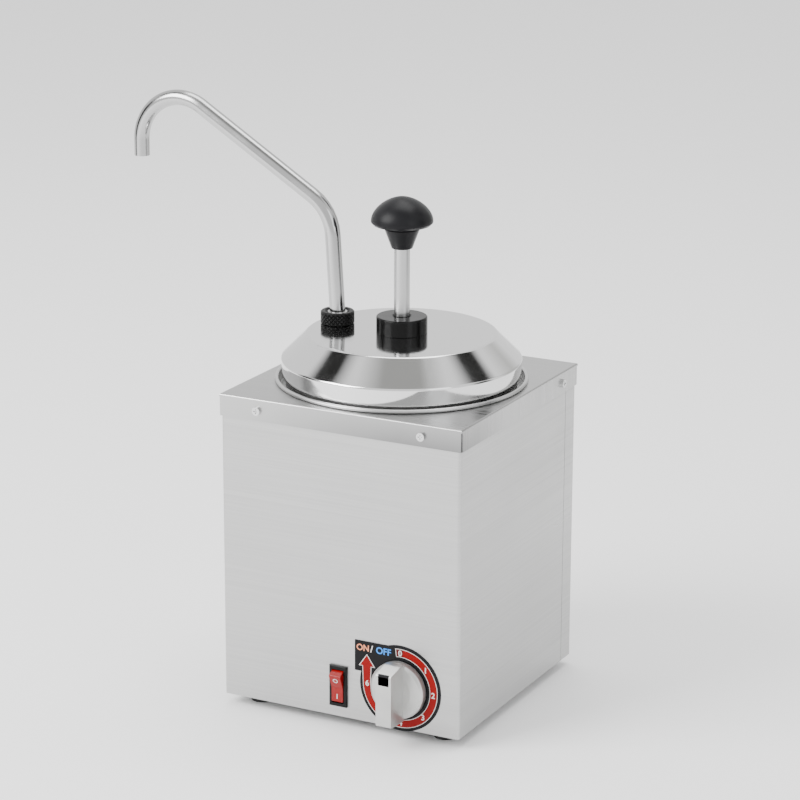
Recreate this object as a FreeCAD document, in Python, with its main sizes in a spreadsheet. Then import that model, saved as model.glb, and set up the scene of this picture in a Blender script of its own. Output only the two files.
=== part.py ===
import FreeCAD, Part
import math
import os
import re

import Sketcher

# Countertop nacho cheese dispenser: a heated water bath in a sheet-steel box, a lift-out food pot,
# and a lid that carries a plunger pump with a swivelling spout.
# Sizes in millimetres. Every piece is drawn about the housing: x = y = 0 on the pump's axis and
# z = 0 at the housing's lower edge. Its Placement then moves it to the part's own frame, whose
# origin is under the middle of the overall box, at the level that the feet stand on.

DIMENSIONS = [
    ("origin_x", 62.2, "pump axis, to the right of the overall box's middle"),
    ("origin_y", 8.5, "pump axis, behind the overall box's middle"),
    ("foot_rise", 8.0, "height of the housing's lower edge above the counter"),
    ("body_half", 95.0, "half the width and half the depth of the housing"),
    ("sheet", 1.0, "thickness of the housing's sheet steel"),
    ("deck_top", 227.6, "top of the deck"),
    ("deck_flange", 16.0, "height of the deck's turned-down edge"),
    ("deck_hole", 89.6, "radius of the hole in the deck"),
    ("bend", 2.5, "outside bend radius of the housing's corners"),
    ("seam_back", 77.5, "where the wrap's sides meet the rear panel"),
    ("seam_gap", 0.4, "width of that seam"),
    ("floor_flange", 10.0, "width of the wrap's turned-in lower edge"),
    ("floor_sheet", 1.2, "thickness of the base plate"),
    ("foot_place", 75.0, "feet from the middle, in x and y"),
    ("foot_radius", 8.5, "radius of a foot"),
    ("deck_screw_out", 65.0, "front and rear deck screws from the middle"),
    ("side_screw_back", 68.7, "side deck screws behind the middle"),
    ("deck_screw_z", 219.0, "height of the deck screws"),
    ("screw_hole", 1.8, "radius of the sheet-metal screws' holes"),
    ("screw_shank", 1.7, "radius of a sheet-metal screw's shank"),
    ("screw_head", 3.0, "radius of a sheet-metal screw's head"),
    ("tank_radius", 80.0, "outside radius of the bath tank"),
    ("tank_bottom", 62.0, "underside of the bath tank"),
    ("tank_sheet", 0.8, "thickness of the tank and of the food pot"),
    ("ledge_z", 221.6, "top of the ledge that the food pot sits on"),
    ("lip_radius", 89.3, "outside radius of the tank's neck in the deck"),
    ("bead_radius", 89.95, "middle of the bead round the tank's mouth"),
    ("bead_thick", 1.5, "radius of that bead's section"),
    ("pot_radius", 75.5, "outside radius of the food pot"),
    ("pot_corner", 4, "outside radius of the pot's lower corner"),
    ("pot_bottom", 72.0, "underside of the food pot"),
    ("pot_neck", 83.6, "outside radius of the pot's neck above its shoulder"),
    ("pot_rim_radius", 82.6, "middle of the pot's rolled rim"),
    ("pot_rim_z", 243.9, "height of the middle of the pot's rolled rim"),
    ("lid_top", 262.2, "flat top of the lid"),
    ("lid_flat", 68.3, "radius of the lid's flat top"),
    ("lid_wide", 86.8, "radius where the lid's cone meets its skirt"),
    ("lid_shoulder", 243.7, "height where the cone meets the skirt"),
    ("lid_edge", 86.0, "radius of the skirt's lower edge"),
    ("lid_bottom", 231.6, "height of the skirt's lower edge"),
    ("lid_sheet", 1.0, "thickness of the lid"),
    ("collar_radius", 18.5, "radius of the pump collar"),
    ("collar_height", 12.0, "height of the pump collar"),
    ("neck_radius", 13.0, "radius of the pump's threaded neck"),
    ("barrel_radius", 16.0, "outside radius of the pump barrel"),
    ("barrel_bore", 14.0, "radius of the pump barrel's bore"),
    ("barrel_flange", 18.0, "radius of the barrel's top flange"),
    ("valve_top", 92.0, "height of the valve body's upper face"),
    ("valve_bottom", 76.0, "height of the valve body's lower face"),
    ("rod_radius", 5.75, "radius of the plunger rod"),
    ("piston_z", 160.0, "underside of the piston at rest"),
    ("piston_height", 14.0, "height of the piston"),
    ("stroke", 46.0, "travel of the plunger"),
    ("knob_bottom", 324.0, "lower end of the plunger's knob"),
    ("knob_waist", 338.0, "top of the knob's conical stem"),
    ("knob_wide_z", 344.5, "height of the knob's widest place"),
    ("knob_radius", 22.3, "radius of the knob"),
    ("knob_top", 361.5, "top of the knob"),
    ("nut_out", 52.5, "spout's axis to the left of the pump's axis"),
    ("nut_radius", 12.3, "radius of the union nut"),
    ("nut_height", 9.5, "height of the union nut"),
    ("tube_radius", 5.75, "outside radius of the spout and riser tubes"),
    ("tube_bore", 4.75, "inside radius of the spout and riser tubes"),
    ("spout_start", 267.6, "lower end of the spout tube"),
    ("spout_corner_out", 4.8, "corner of the spout's leg and arm, to the left of its axis"),
    ("spout_corner_z", 345.0, "height of that corner"),
    ("spout_rise", 31.5, "angle of the spout's arm above level, in degrees"),
    ("spout_bend", 34.5, "bend radius between leg and arm"),
    ("hook_bend", 34.0, "bend radius of the hook"),
    ("spout_reach", 164.1, "tip of the spout to the left of its axis"),
    ("spout_tip", 370.0, "height of the spout's tip"),
    ("switch_x", -0.4, "middle of the switch, from the housing's middle"),
    ("switch_z", 23.3, "height of the switch's middle"),
    ("bezel_width", 14.0, "width of the switch's bezel"),
    ("bezel_height", 31.0, "height of the switch's bezel"),
    ("rocker_pivot_y", 94.6, "rocker's pivot in front of the middle"),
    ("rocker_tilt", 12.0, "tilt of the rocker either way from level, in degrees"),
    ("dial_x", 49.0, "thermostat's axis to the right of the middle"),
    ("dial_z", 30.6, "height of the thermostat's axis"),
    ("dial_radius", 32.0, "radius of the dial plate"),
    ("dial_thick", 0.5, "thickness of the dial plate"),
    ("dial_tab_left", 12.8, "left edge of the dial plate's tab"),
    ("dial_tab_low", 38.1, "lower edge of the tab"),
    ("dial_tab_high", 61.0, "upper edge of the tab"),
    ("dial_knob_radius", 21.5, "radius of the thermostat's knob"),
    ("grip_width", 12.0, "width of the knob's grip bar"),
    ("grip_front", 121.0, "front of the grip bar, from the housing's middle"),
    ("spindle_radius", 3.0, "radius of the thermostat's spindle"),
    ("gland_x", -60.0, "cord gland, from the housing's middle"),
    ("gland_z", 30.0, "height of the cord gland"),
    ("gland_bore", 3.75, "radius of the gland's bore"),
    ("heater_radius", 50.0, "radius of the heating element's ring"),
    ("heater_tube", 4.0, "radius of the heating element's tube"),
    ("wire_radius", 1.3, "radius of an insulated wire"),
]

HEAD_HEIGHT = 2.0
SEAM_SLIT = 0.7
BALL_RADIUS = 4.8

doc = FreeCAD.newDocument("cheese_dispenser")
sub_parts = []


def make_sheet():
    """The driving dimensions, one aliased cell each."""
    cells = doc.addObject("Spreadsheet::Sheet", "dims")
    for row, (alias, value, meaning) in enumerate(DIMENSIONS, start=1):
        cells.set(f"A{row}", meaning)
        cells.set(f"B{row}", str(value))
        cells.setAlias(f"B{row}", alias)
    doc.recompute()
    return cells


dims = make_sheet()
ALIASES = {alias for alias, value, meaning in DIMENSIONS}


def bound(text):
    """A formula in plain aliases, written as FreeCAD reads it from another object."""
    return re.sub(r"[a-z_]+", lambda word: "dims." + word[0] if word[0] in ALIASES else word[0], str(text))


def size(text):
    """The number that a formula gives now."""
    return float(dims.evalExpression(bound(text)))


def bind(thing, name, text):
    """Ties one property or constraint to a formula."""
    if any(word in ALIASES for word in re.findall(r"[a-z_]+", str(text))):
        thing.setExpression(name, bound(text))


def finish(piece, label, x="0", y="0", z="0"):
    """Names a sub-part and moves it from the housing's frame to the part's own."""
    piece.Label = label
    for axis, text in (("x", f"origin_x + {x}"), ("y", f"origin_y + {y}"), ("z", f"foot_rise + {z}")):
        piece.setExpression(f"Placement.Base.{axis}", bound(text))
    sub_parts.append(piece)
    return piece


# ---- sketches and features ----


def new_body(name):
    return doc.addObject("PartDesign::Body", name)


def new_sketch(body, plane, lift="0"):
    """A sketch on one of the body's own origin planes, lifted along that plane's normal."""
    count = sum(1 for item in body.Group if item.TypeId == "Sketcher::SketchObject")
    sketch = body.newObject("Sketcher::SketchObject", f"{body.Name}_sketch_{count}")
    origin_plane = [item for item in body.Origin.OriginFeatures if item.Role == plane][0]
    sketch.AttachmentSupport = [(origin_plane, "")]
    sketch.MapMode = "FlatFace"
    sketch.AttachmentOffset = FreeCAD.Placement(FreeCAD.Vector(0, 0, size(lift)), FreeCAD.Rotation())
    bind(sketch, "AttachmentOffset.Base.z", lift)
    return sketch


def fix_point(sketch, item, point, x, y):
    """Holds one point of a sketch at formulas for its two coordinates."""
    for kind, text in (("DistanceX", x), ("DistanceY", y)):
        index = sketch.addConstraint(Sketcher.Constraint(kind, -1, 1, item, point, size(text)))
        bind(sketch, f"Constraints[{index}]", text)


def arc_between(start, end, radius, side):
    """The short arc from start to end; side is 1 with its centre to the left of the way there."""
    chord = end - start
    middle = start + chord * 0.5
    reach = math.sqrt(max(radius**2 - (chord.Length / 2) ** 2, 0.0))
    normal = FreeCAD.Vector(-chord.y, chord.x, 0).normalize()
    centre = middle + normal * reach * side
    first, last = (start, end) if side > 0 else (end, start)
    low = math.atan2(first.y - centre.y, first.x - centre.x)
    high = math.atan2(last.y - centre.y, last.x - centre.x)
    return Part.ArcOfCircle(Part.Circle(centre, FreeCAD.Vector(0, 0, 1), radius), low, high)


def draw_outline(sketch, outline):
    """A closed outline. Each entry is a corner (x, y), or (x, y, radius, side) to reach it by an arc."""
    corners = [FreeCAD.Vector(size(entry[0]), size(entry[1]), 0) for entry in outline]
    base = sketch.GeometryCount
    ends = []
    for index, entry in enumerate(outline):
        start = corners[index - 1]
        if len(entry) == 2:
            sketch.addGeometry(Part.LineSegment(start, corners[index]), False)
            ends.append((1, 2))
            continue
        sketch.addGeometry(arc_between(start, corners[index], size(entry[2]), entry[3]), False)
        ends.append((1, 2) if entry[3] > 0 else (2, 1))
        held = sketch.addConstraint(Sketcher.Constraint("Radius", base + index, size(entry[2])))
        bind(sketch, f"Constraints[{held}]", entry[2])
    for index, entry in enumerate(outline):
        after = (index + 1) % len(outline)
        joined = (base + index, ends[index][1], base + after, ends[after][0])
        sketch.addConstraint(Sketcher.Constraint("Coincident", *joined))
        fix_point(sketch, base + index, ends[index][1], entry[0], entry[1])


def draw_circle(sketch, x, y, radius):
    item = sketch.GeometryCount
    centre = FreeCAD.Vector(size(x), size(y), 0)
    sketch.addGeometry(Part.Circle(centre, FreeCAD.Vector(0, 0, 1), size(radius)), False)
    fix_point(sketch, item, 3, x, y)
    held = sketch.addConstraint(Sketcher.Constraint("Radius", item, size(radius)))
    bind(sketch, f"Constraints[{held}]", radius)


def rectangle(left, low, right, high):
    return [(left, low), (right, low), (right, high), (left, high)]


def revolve(body, outline, kind="PartDesign::Revolution"):
    """Turns an outline of (radius, height) about the body's z axis."""
    sketch = new_sketch(body, "XZ_Plane")
    draw_outline(sketch, outline)
    feature = body.newObject(kind, f"{body.Name}_turned_{sketch.Name[-1]}")
    feature.Profile = sketch
    feature.ReferenceAxis = (sketch, ["V_Axis"])
    feature.Angle = 360
    doc.recompute()
    return feature


def pad(body, outlines, low, height, circles=()):
    """Raises outlines and circles, drawn from above, by height from the level low."""
    sketch = new_sketch(body, "XY_Plane", low)
    for outline in outlines:
        draw_outline(sketch, outline)
    for circle in circles:
        draw_circle(sketch, *circle)
    feature = body.newObject("PartDesign::Pad", f"{body.Name}_pad_{sketch.Name[-1]}")
    feature.Profile = sketch
    feature.Length = size(height)
    bind(feature, "Length", height)
    doc.recompute()
    return feature


def cut_through(body, plane, outlines=(), circles=()):
    """Cuts outlines and circles both ways through the body, and proves that they took metal away."""
    before = body.Shape.Volume
    sketch = new_sketch(body, plane)
    for outline in outlines:
        draw_outline(sketch, outline)
    for circle in circles:
        draw_circle(sketch, *circle)
    feature = body.newObject("PartDesign::Pocket", f"{body.Name}_cut_{sketch.Name[-1]}")
    feature.Profile = sketch
    feature.Type = "ThroughAll"
    feature.SideType = "Symmetric"
    doc.recompute()
    if body.Shape.Volume >= before:
        raise RuntimeError(f"{feature.Name} cut nothing")
    return feature


def round_edges(body, radius, chosen):
    """Rounds the edges of the body's last feature for which chosen(edge) is true."""
    names = [f"Edge{number}" for number, edge in enumerate(body.Tip.Shape.Edges, start=1) if chosen(edge)]
    feature = body.newObject("PartDesign::Fillet", f"{body.Name}_round_{len(body.Group)}")
    feature.Base = (body.Group[-2], names)
    feature.Radius = size(radius)
    bind(feature, "Radius", radius)
    doc.recompute()
    return feature


def is_ring(edge, radius, z):
    """Is this a circle about the z axis with that radius, at that height?"""
    if not isinstance(edge.Curve, Part.Circle):
        return False
    close = abs(edge.Curve.Radius - size(radius)) < 0.01
    return close and abs(edge.Curve.Center.z - size(z)) < 0.01


def is_upright(edge, x, y):
    """Is this a straight vertical edge at |x|, y?"""
    box = edge.BoundBox
    there = abs(abs(box.Center.x) - size(x)) < 0.01 and abs(box.Center.y - size(y)) < 0.01
    return there and box.XLength < 0.01 and box.YLength < 0.01


# ---- primitives and booleans ----

TURNS = {
    "z": FreeCAD.Rotation(),
    "x": FreeCAD.Rotation(FreeCAD.Vector(0, 1, 0), 90),
    "y": FreeCAD.Rotation(FreeCAD.Vector(1, 0, 0), -90),
    "-y": FreeCAD.Rotation(FreeCAD.Vector(1, 0, 0), 90),
    "-z": FreeCAD.Rotation(FreeCAD.Vector(1, 0, 0), 180),
    "-x": FreeCAD.Rotation(FreeCAD.Vector(0, 1, 0), -90),
}


def put(item, x, y, z, axis="z"):
    item.Placement = FreeCAD.Placement(FreeCAD.Vector(size(x), size(y), size(z)), TURNS[axis])
    for letter, text in (("x", x), ("y", y), ("z", z)):
        bind(item, f"Placement.Base.{letter}", text)
    return item


def block(name, low, extent):
    """A box from its low corner and its three extents."""
    item = doc.addObject("Part::Box", name)
    for side, text in zip(("Length", "Width", "Height"), extent):
        setattr(item, side, size(text))
        bind(item, side, text)
    return put(item, *low)


def rod(name, start, radius, length, axis="z"):
    """A cylinder from the middle of its first face, along an axis."""
    item = doc.addObject("Part::Cylinder", name)
    for side, text in (("Radius", radius), ("Height", length)):
        setattr(item, side, size(text))
        bind(item, side, text)
    return put(item, *start, axis)


def fuse(name, items):
    item = doc.addObject("Part::MultiFuse", name)
    item.Shapes = items
    item.Refine = True
    return item


def cut(name, base, tools):
    """The base less its tools, which are joined first where there are several."""
    item = doc.addObject("Part::Cut", name)
    item.Base = base
    item.Tool = tools[0] if len(tools) == 1 else fuse(name + "_tools", tools)
    return item


def copies(name, master, places):
    """Separate copies of one master in one node, each at (x, y, z, axis)."""
    links = []
    for number, (x, y, z, axis) in enumerate(places):
        link = doc.addObject("App::Link", f"{name}_{number}")
        link.LinkedObject = master
        link.LinkTransform = False
        links.append(put(link, x, y, z, axis))
    group = doc.addObject("Part::Compound", name)
    group.Links = links
    return group


def bent_wire(name, points, radius, bend):
    """A round wire on straight runs joined by tangent arcs."""
    corners = [FreeCAD.Vector(*(size(text) for text in point)) for point in points]
    bend = size(bend)
    edges = []
    start = corners[0]
    for before, corner, after in zip(corners, corners[1:], corners[2:]):
        inward = (corner - before).normalize()
        outward = (after - corner).normalize()
        half_turn = inward.getAngle(outward) / 2
        setback = bend * math.tan(half_turn)
        first = corner - inward * setback
        last = corner + outward * setback
        towards = (outward - inward).normalize()
        middle = corner + towards * (bend / math.cos(half_turn) - bend)
        edges.append(Part.LineSegment(start, first).toShape())
        edges.append(Part.Arc(first, middle, last).toShape())
        start = last
    edges.append(Part.LineSegment(start, corners[-1]).toShape())
    spine = Part.Wire(edges)
    section = Part.Wire(Part.makeCircle(size(radius), corners[0], corners[1] - corners[0]))
    item = doc.addObject("Part::Feature", name)
    item.Shape = spine.makePipeShell([section], True, True)
    return item


# ---- fasteners ----


def pan_screw(name, head, shank, length):
    """A cross-recessed pan-head screw pointing down, its head standing on z = 0."""
    parts = [rod(name + "_head", ("0", "0", "0"), head, HEAD_HEIGHT)]
    parts.append(rod(name + "_shank", ("0", "0", "0"), shank, length, "-z"))
    slots = [
        block(name + "_slot_a", (f"-0.6 * ({head})", "-0.35", "1.0"), (f"1.2 * ({head})", "0.7", "2")),
        block(name + "_slot_b", ("-0.35", f"-0.6 * ({head})", "1.0"), ("0.7", f"1.2 * ({head})", "2")),
    ]
    return cut(name, fuse(name + "_solid", parts), slots)


def make_fasteners():
    screw = pan_screw("sheet_screw", "screw_head", "screw_shank", 7)
    edge = "body_half + sheet"
    deck_places = [
        ("-deck_screw_out", f"-({edge})", "deck_screw_z", "-y"),
        ("deck_screw_out", f"-({edge})", "deck_screw_z", "-y"),
        (f"-({edge})", "side_screw_back", "deck_screw_z", "-x"),
        (edge, "side_screw_back", "deck_screw_z", "x"),
        ("-deck_screw_out", edge, "deck_screw_z", "y"),
        ("deck_screw_out", edge, "deck_screw_z", "y"),
    ]
    finish(copies("deck_screw_set", screw, deck_places), "deck_screws")
    rear_places = [(side + "80", "body_half", "9", "y") for side in ("-", "")]
    finish(copies("rear_screw_set", screw, rear_places), "rear_panel_screws")
    base_places = [(side + "89.5", back, "0", "-z") for side in ("-", "") for back in ("-50", "50")]
    finish(copies("base_screw_set", screw, base_places), "base_screws")
    foot_screw = pan_screw("foot_pan_screw", 3.8, 2.0, 11)
    corners = [(x, y) for x in ("-foot_place", "foot_place") for y in ("-foot_place", "foot_place")]
    finish(copies("foot_screw_set", foot_screw, [(x, y, "-3", "-z") for x, y in corners]), "foot_screws")
    nut = cut("foot_nut", hexagon("foot_nut_blank", 4.04, 3.2),
              [rod("foot_nut_bore", ("0", "0", "-1"), 2.05, 6)])
    top = "sheet + floor_sheet"
    finish(copies("foot_nut_set", nut, [(x, y, top, "z") for x, y in corners]), "foot_nuts")


def hexagon(name, radius, height):
    item = doc.addObject("Part::Prism", name)
    item.Polygon = 6
    item.Circumradius = radius
    item.Height = height
    return item


# ---- housing ----


def u_shape(half, inner, open_y):
    """A U seen from above, open towards the rear."""
    return [
        (f"-({half})", open_y), (f"-({half})", f"-({half})"), (half, f"-({half})"), (half, open_y),
        (inner, open_y), (inner, f"-({inner})"), (f"-({inner})", f"-({inner})"), (f"-({inner})", open_y),
    ]


def make_housing_wrap():
    """Front and both sides in one bent sheet, its lower edge turned in to carry the base plate."""
    body = new_body("housing_wrap")
    inside = "body_half - sheet"
    back = "seam_back - seam_gap / 2"
    pad(body, [u_shape("body_half", inside, back)], "0", "deck_top - sheet")
    round_edges(body, "bend", lambda edge: is_upright(edge, "body_half", "-body_half"))
    pad(body, [u_shape(inside, "body_half - floor_flange", back)], "0", "sheet")
    low = "switch_z - bezel_height / 2 + 1.5"
    high = "switch_z + bezel_height / 2 - 1.5"
    opening = rectangle("switch_x - bezel_width / 2 + 0.7", low, "switch_x + bezel_width / 2 - 0.7", high)
    holes = [("dial_x", "dial_z", "5")]
    holes += [(f"dial_x {side} 14", "dial_z", "2.1") for side in ("-", "+")]
    holes += [(f"{side}deck_screw_out", "deck_screw_z", "screw_hole") for side in ("-", "")]
    cut_through(body, "XZ_Plane", [opening], holes)
    cut_through(body, "YZ_Plane", circles=[("side_screw_back", "deck_screw_z", "screw_hole")])
    floor_holes = [(x, y, "screw_hole") for x in ("-89.5", "89.5") for y in ("-50", "50")]
    cut_through(body, "XY_Plane", circles=floor_holes)
    finish(body, "housing_wrap")


def make_rear_panel():
    """The back, with side returns that meet the wrap at a seam."""
    body = new_body("rear_panel")
    inside = "body_half - sheet"
    front = "seam_back + seam_gap / 2"
    outline = [
        ("-body_half", front), (f"-({inside})", front), (f"-({inside})", inside), (inside, inside),
        (inside, front), ("body_half", front), ("body_half", "body_half"), ("-body_half", "body_half"),
    ]
    pad(body, [outline], "0", "deck_top - sheet")
    round_edges(body, "bend", lambda edge: is_upright(edge, "body_half", "body_half"))
    # XZ_Plane faces the front, so its x runs the same way as the part's.
    holes = [(f"{side}deck_screw_out", "deck_screw_z", "screw_hole") for side in ("-", "")]
    holes += [(f"{side}80", "9", "screw_hole") for side in ("-", "")]
    holes.append(("gland_x", "gland_z", "8.1"))
    cut_through(body, "XZ_Plane", circles=holes)
    finish(body, "rear_panel")


def make_top_cover():
    """The deck: a shallow folded cap with open corner seams and the hole for the bath tank."""
    body = new_body("top_cover_cap")
    outer = "body_half + sheet"
    low = "deck_top - deck_flange"
    square = rectangle(f"-({outer})", f"-({outer})", outer, outer)
    pad(body, [square], low, "deck_flange")
    top = size("deck_top")
    round_edges(body, "1.2", lambda edge: edge.BoundBox.ZMin > top - 0.01)
    hollow = new_sketch(body, "XY_Plane", low)
    draw_outline(hollow, rectangle("-body_half", "-body_half", "body_half", "body_half"))
    feature = body.newObject("PartDesign::Pocket", "deck_hollow")
    feature.Profile = hollow
    feature.Reversed = True
    feature.Length = size("deck_flange - sheet")
    bind(feature, "Length", "deck_flange - sheet")
    before = body.Shape.Volume
    doc.recompute()
    if body.Shape.Volume >= before:
        raise RuntimeError("the deck was not hollowed")
    cut_through(body, "XY_Plane", circles=[("0", "0", "deck_hole")])
    cut_through(body, "XZ_Plane", circles=[(f"{s}deck_screw_out", "deck_screw_z", "screw_hole")
                                           for s in ("-", "")])
    cut_through(body, "YZ_Plane", circles=[("side_screw_back", "deck_screw_z", "screw_hole")])
    slits = []
    for side, x in (("left", "-(body_half + sheet)"), ("right", f"body_half + sheet - {SEAM_SLIT}")):
        for end, y in (("front", "-(body_half + 1.5 * sheet)"), ("rear", "body_half - sheet / 2")):
            depth = "deck_flange - 2 * sheet"
            slits.append(block(f"corner_slit_{side}_{end}", (x, y, low), (SEAM_SLIT, "2 * sheet", depth)))
    finish(cut("top_cover_slit", body, slits), "top_cover")


def make_base_plate():
    """Closes the box from below; its rear edge is turned up behind the rear panel."""
    reach = "body_half - sheet - 0.2"
    back = "body_half - sheet"
    plate = block("base_sheet", (f"-({reach})", f"-({reach})", "sheet"),
                  (f"2 * ({reach})", f"{reach} + {back}", "floor_sheet"))
    upturn = block("base_upturn", ("-92", f"{back} - floor_sheet", "sheet"), ("184", "floor_sheet", "14"))
    holes = [rod(f"foot_hole_{x}{y}", (x, y, "-2"), "2.1", "8")
             for x in ("-foot_place", "foot_place") for y in ("-foot_place", "foot_place")]
    holes += [rod(f"floor_hole_{x}{y}", (x, y, "-2"), "screw_hole", "8") for x in ("-89.5", "89.5")
              for y in ("-50", "50")]
    holes += [rod(f"rear_hole_{x}", (x, "85", "9"), "screw_hole", "12", "y") for x in ("-80", "80")]
    holes.append(rod("earth_hole", ("-55", "5", "-2"), "2.1", "8"))
    finish(cut("base_plate", fuse("base_solid", [plate, upturn]), holes), "base_plate")


def make_feet():
    """Four rubber feet, each with a pocket for its screw's head."""
    for depth, y in (("front", "-foot_place"), ("rear", "foot_place")):
        for side, x in (("left", "-foot_place"), ("right", "foot_place")):
            body = new_body(f"foot_{depth}_{side}")
            revolve(body, [
                ("2.1", "sheet"), ("2.1", "-3"), ("4.4", "-3"), ("4.4", "-foot_rise"),
                ("foot_radius - 0.8", "-foot_rise"), ("foot_radius", "0.8 - foot_rise", "0.8", 1),
                ("foot_radius - 0.4", "sheet"),
            ])
            finish(body, f"foot_{depth}_{side}", x, y)


def make_bath_tank():
    """Water bath: bottom, wall, ledge for the pot, and a beaded mouth that hangs on the deck."""
    body = new_body("bath_tank")
    inner = "tank_radius - tank_sheet"
    revolve(body, [
        ("0", "tank_bottom"), ("tank_radius - 6", "tank_bottom"),
        ("tank_radius", "tank_bottom + 6", "6", 1), ("tank_radius", "ledge_z - tank_sheet"),
        ("lip_radius", "ledge_z - tank_sheet"), ("lip_radius", "deck_top + bead_thick"),
        ("lip_radius - tank_sheet", "deck_top + bead_thick"), ("lip_radius - tank_sheet", "ledge_z"),
        (inner, "ledge_z"), (inner, "tank_bottom + 6"),
        (f"{inner} - 6 + tank_sheet", "tank_bottom + tank_sheet", "6 - tank_sheet", -1),
        ("0", "tank_bottom + tank_sheet"),
    ])
    bead = new_sketch(body, "XZ_Plane")
    draw_circle(bead, "bead_radius", "deck_top + bead_thick", "bead_thick")
    ring = body.newObject("PartDesign::Revolution", "bath_tank_bead")
    ring.Profile = bead
    ring.ReferenceAxis = (bead, ["V_Axis"])
    ring.Angle = 360
    doc.recompute()
    pad(body, [], "tank_bottom - 14", "14.2", [("0", "0", "3")])
    finish(body, "bath_tank")


# ---- heater, thermostat and wiring ----


def make_heater():
    """Ring element under the tank, pressed up by a cross-bar on the tank's stud, and its cut-out."""
    ring = doc.addObject("Part::Torus", "heater_ring")
    for name, text in (("Radius1", "heater_radius"), ("Radius2", "heater_tube")):
        setattr(ring, name, size(text))
        bind(ring, name, text)
    ring.Angle3 = 330
    height = "tank_bottom - heater_tube - 0.1"
    put(ring, "0", "0", height)
    ring.Placement = FreeCAD.Placement(ring.Placement.Base, FreeCAD.Rotation(FreeCAD.Vector(0, 0, 1), 105))
    ends = []
    for side in ("-", ""):
        x = f"{side}heater_radius * sin(15)"
        y = "heater_radius * cos(15)"
        ball = doc.addObject("Part::Sphere", f"heater_elbow{side}")
        ball.Radius = size("heater_tube")
        bind(ball, "Radius", "heater_tube")
        ends.append(put(ball, x, y, height))
        ends.append(rod(f"heater_pin{side}", (x, y, f"{height} - 12"), "3", "12"))
    finish(fuse("heating_element", [ring] + ends), "heating_element")
    bar_top = "tank_bottom - 2 * heater_tube - 0.1"
    bar = block("clamp_bar", ("-60", "-9", f"{bar_top} - 1.5"), ("120", "18", "1.5"))
    finish(cut("heater_clamp", bar, [rod("clamp_hole", ("0", "0", "40"), "3.2", "30")]), "heater_clamp")
    nut = cut("clamp_nut", hexagon("clamp_nut_blank", 5.77, 4),
              [rod("clamp_nut_bore", ("0", "0", "-1"), 3.05, 8)])
    finish(nut, "clamp_nut", z=f"{bar_top} - 5.5")
    cup = rod("cutout_cup", ("0", "30", "tank_bottom - 10"), "8", "9.9")
    tabs = [block(f"cutout_tab_{x}", (f"{x} - 0.4", "27", "tank_bottom - 18"), ("0.8", "6", "8.5"))
            for x in ("-5", "5")]
    finish(fuse("thermal_cutout", [cup] + tabs), "thermal_cutout")


def make_thermostat():
    """Capillary thermostat behind the panel, its bulb under the tank and the label round its spindle."""
    front = "-(body_half - sheet)"
    case = block("thermostat_case", ("dial_x - 18", front, "12"), ("36", "27", "38"))
    tabs = [block(f"thermostat_tab_{x}", (f"{x} - 3", f"{front} + 26", "29.6"), ("6", "9", "0.8"))
            for x in ("40", "58")]
    bores = [rod("spindle_bore", ("dial_x", f"{front} - 1", "dial_z"), "spindle_radius + 0.05", "16", "y")]
    bores += [rod(f"thermostat_tap{s}", (f"dial_x {s} 14", f"{front} - 1", "dial_z"), "1.75", "9", "y")
              for s in ("-", "+")]
    finish(cut("thermostat_body", fuse("thermostat_solid", [case] + tabs), bores), "thermostat_body")
    screw = pan_screw("dial_screw", "screw_head", "screw_shank", 7)
    face = "-(body_half + dial_thick)"
    places = [(f"dial_x {side} 14", face, "dial_z", "-y") for side in ("-", "+")]
    finish(copies("thermostat_screw_set", screw, places), "thermostat_screws")
    bulb = rod("bulb_rod", ("20", "-22", "tank_bottom - 3.2"), "3", "58", "y")
    route = [("55", f"{front} + 27", "44"), ("55", "-52", "44"), ("20", "-40", "46"),
             ("20", "-30", "tank_bottom - 3.2"), ("20", "-21.9", "tank_bottom - 3.2")]
    capillary = bent_wire("capillary_tube", route, 0.8, 3.5)
    finish(fuse("thermostat_sensor", [bulb, capillary]), "thermostat_bulb")
    plate = rod("dial_disc", ("dial_x", "-body_half", "dial_z"), "dial_radius", "dial_thick", "-y")
    tab = block("dial_tab", ("dial_tab_left", "-(body_half + dial_thick)", "dial_tab_low"),
                ("dial_x - dial_tab_left", "dial_thick", "dial_tab_high - dial_tab_low"))
    holes = [rod("dial_hole", ("dial_x", "-90", "dial_z"), "5", "12", "-y")]
    holes += [rod(f"dial_screw_hole{s}", (f"dial_x {s} 14", "-90", "dial_z"), "2.1", "12", "-y")
              for s in ("-", "+")]
    finish(cut("dial_plate", fuse("dial_solid", [plate, tab]), holes), "dial_plate")


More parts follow.
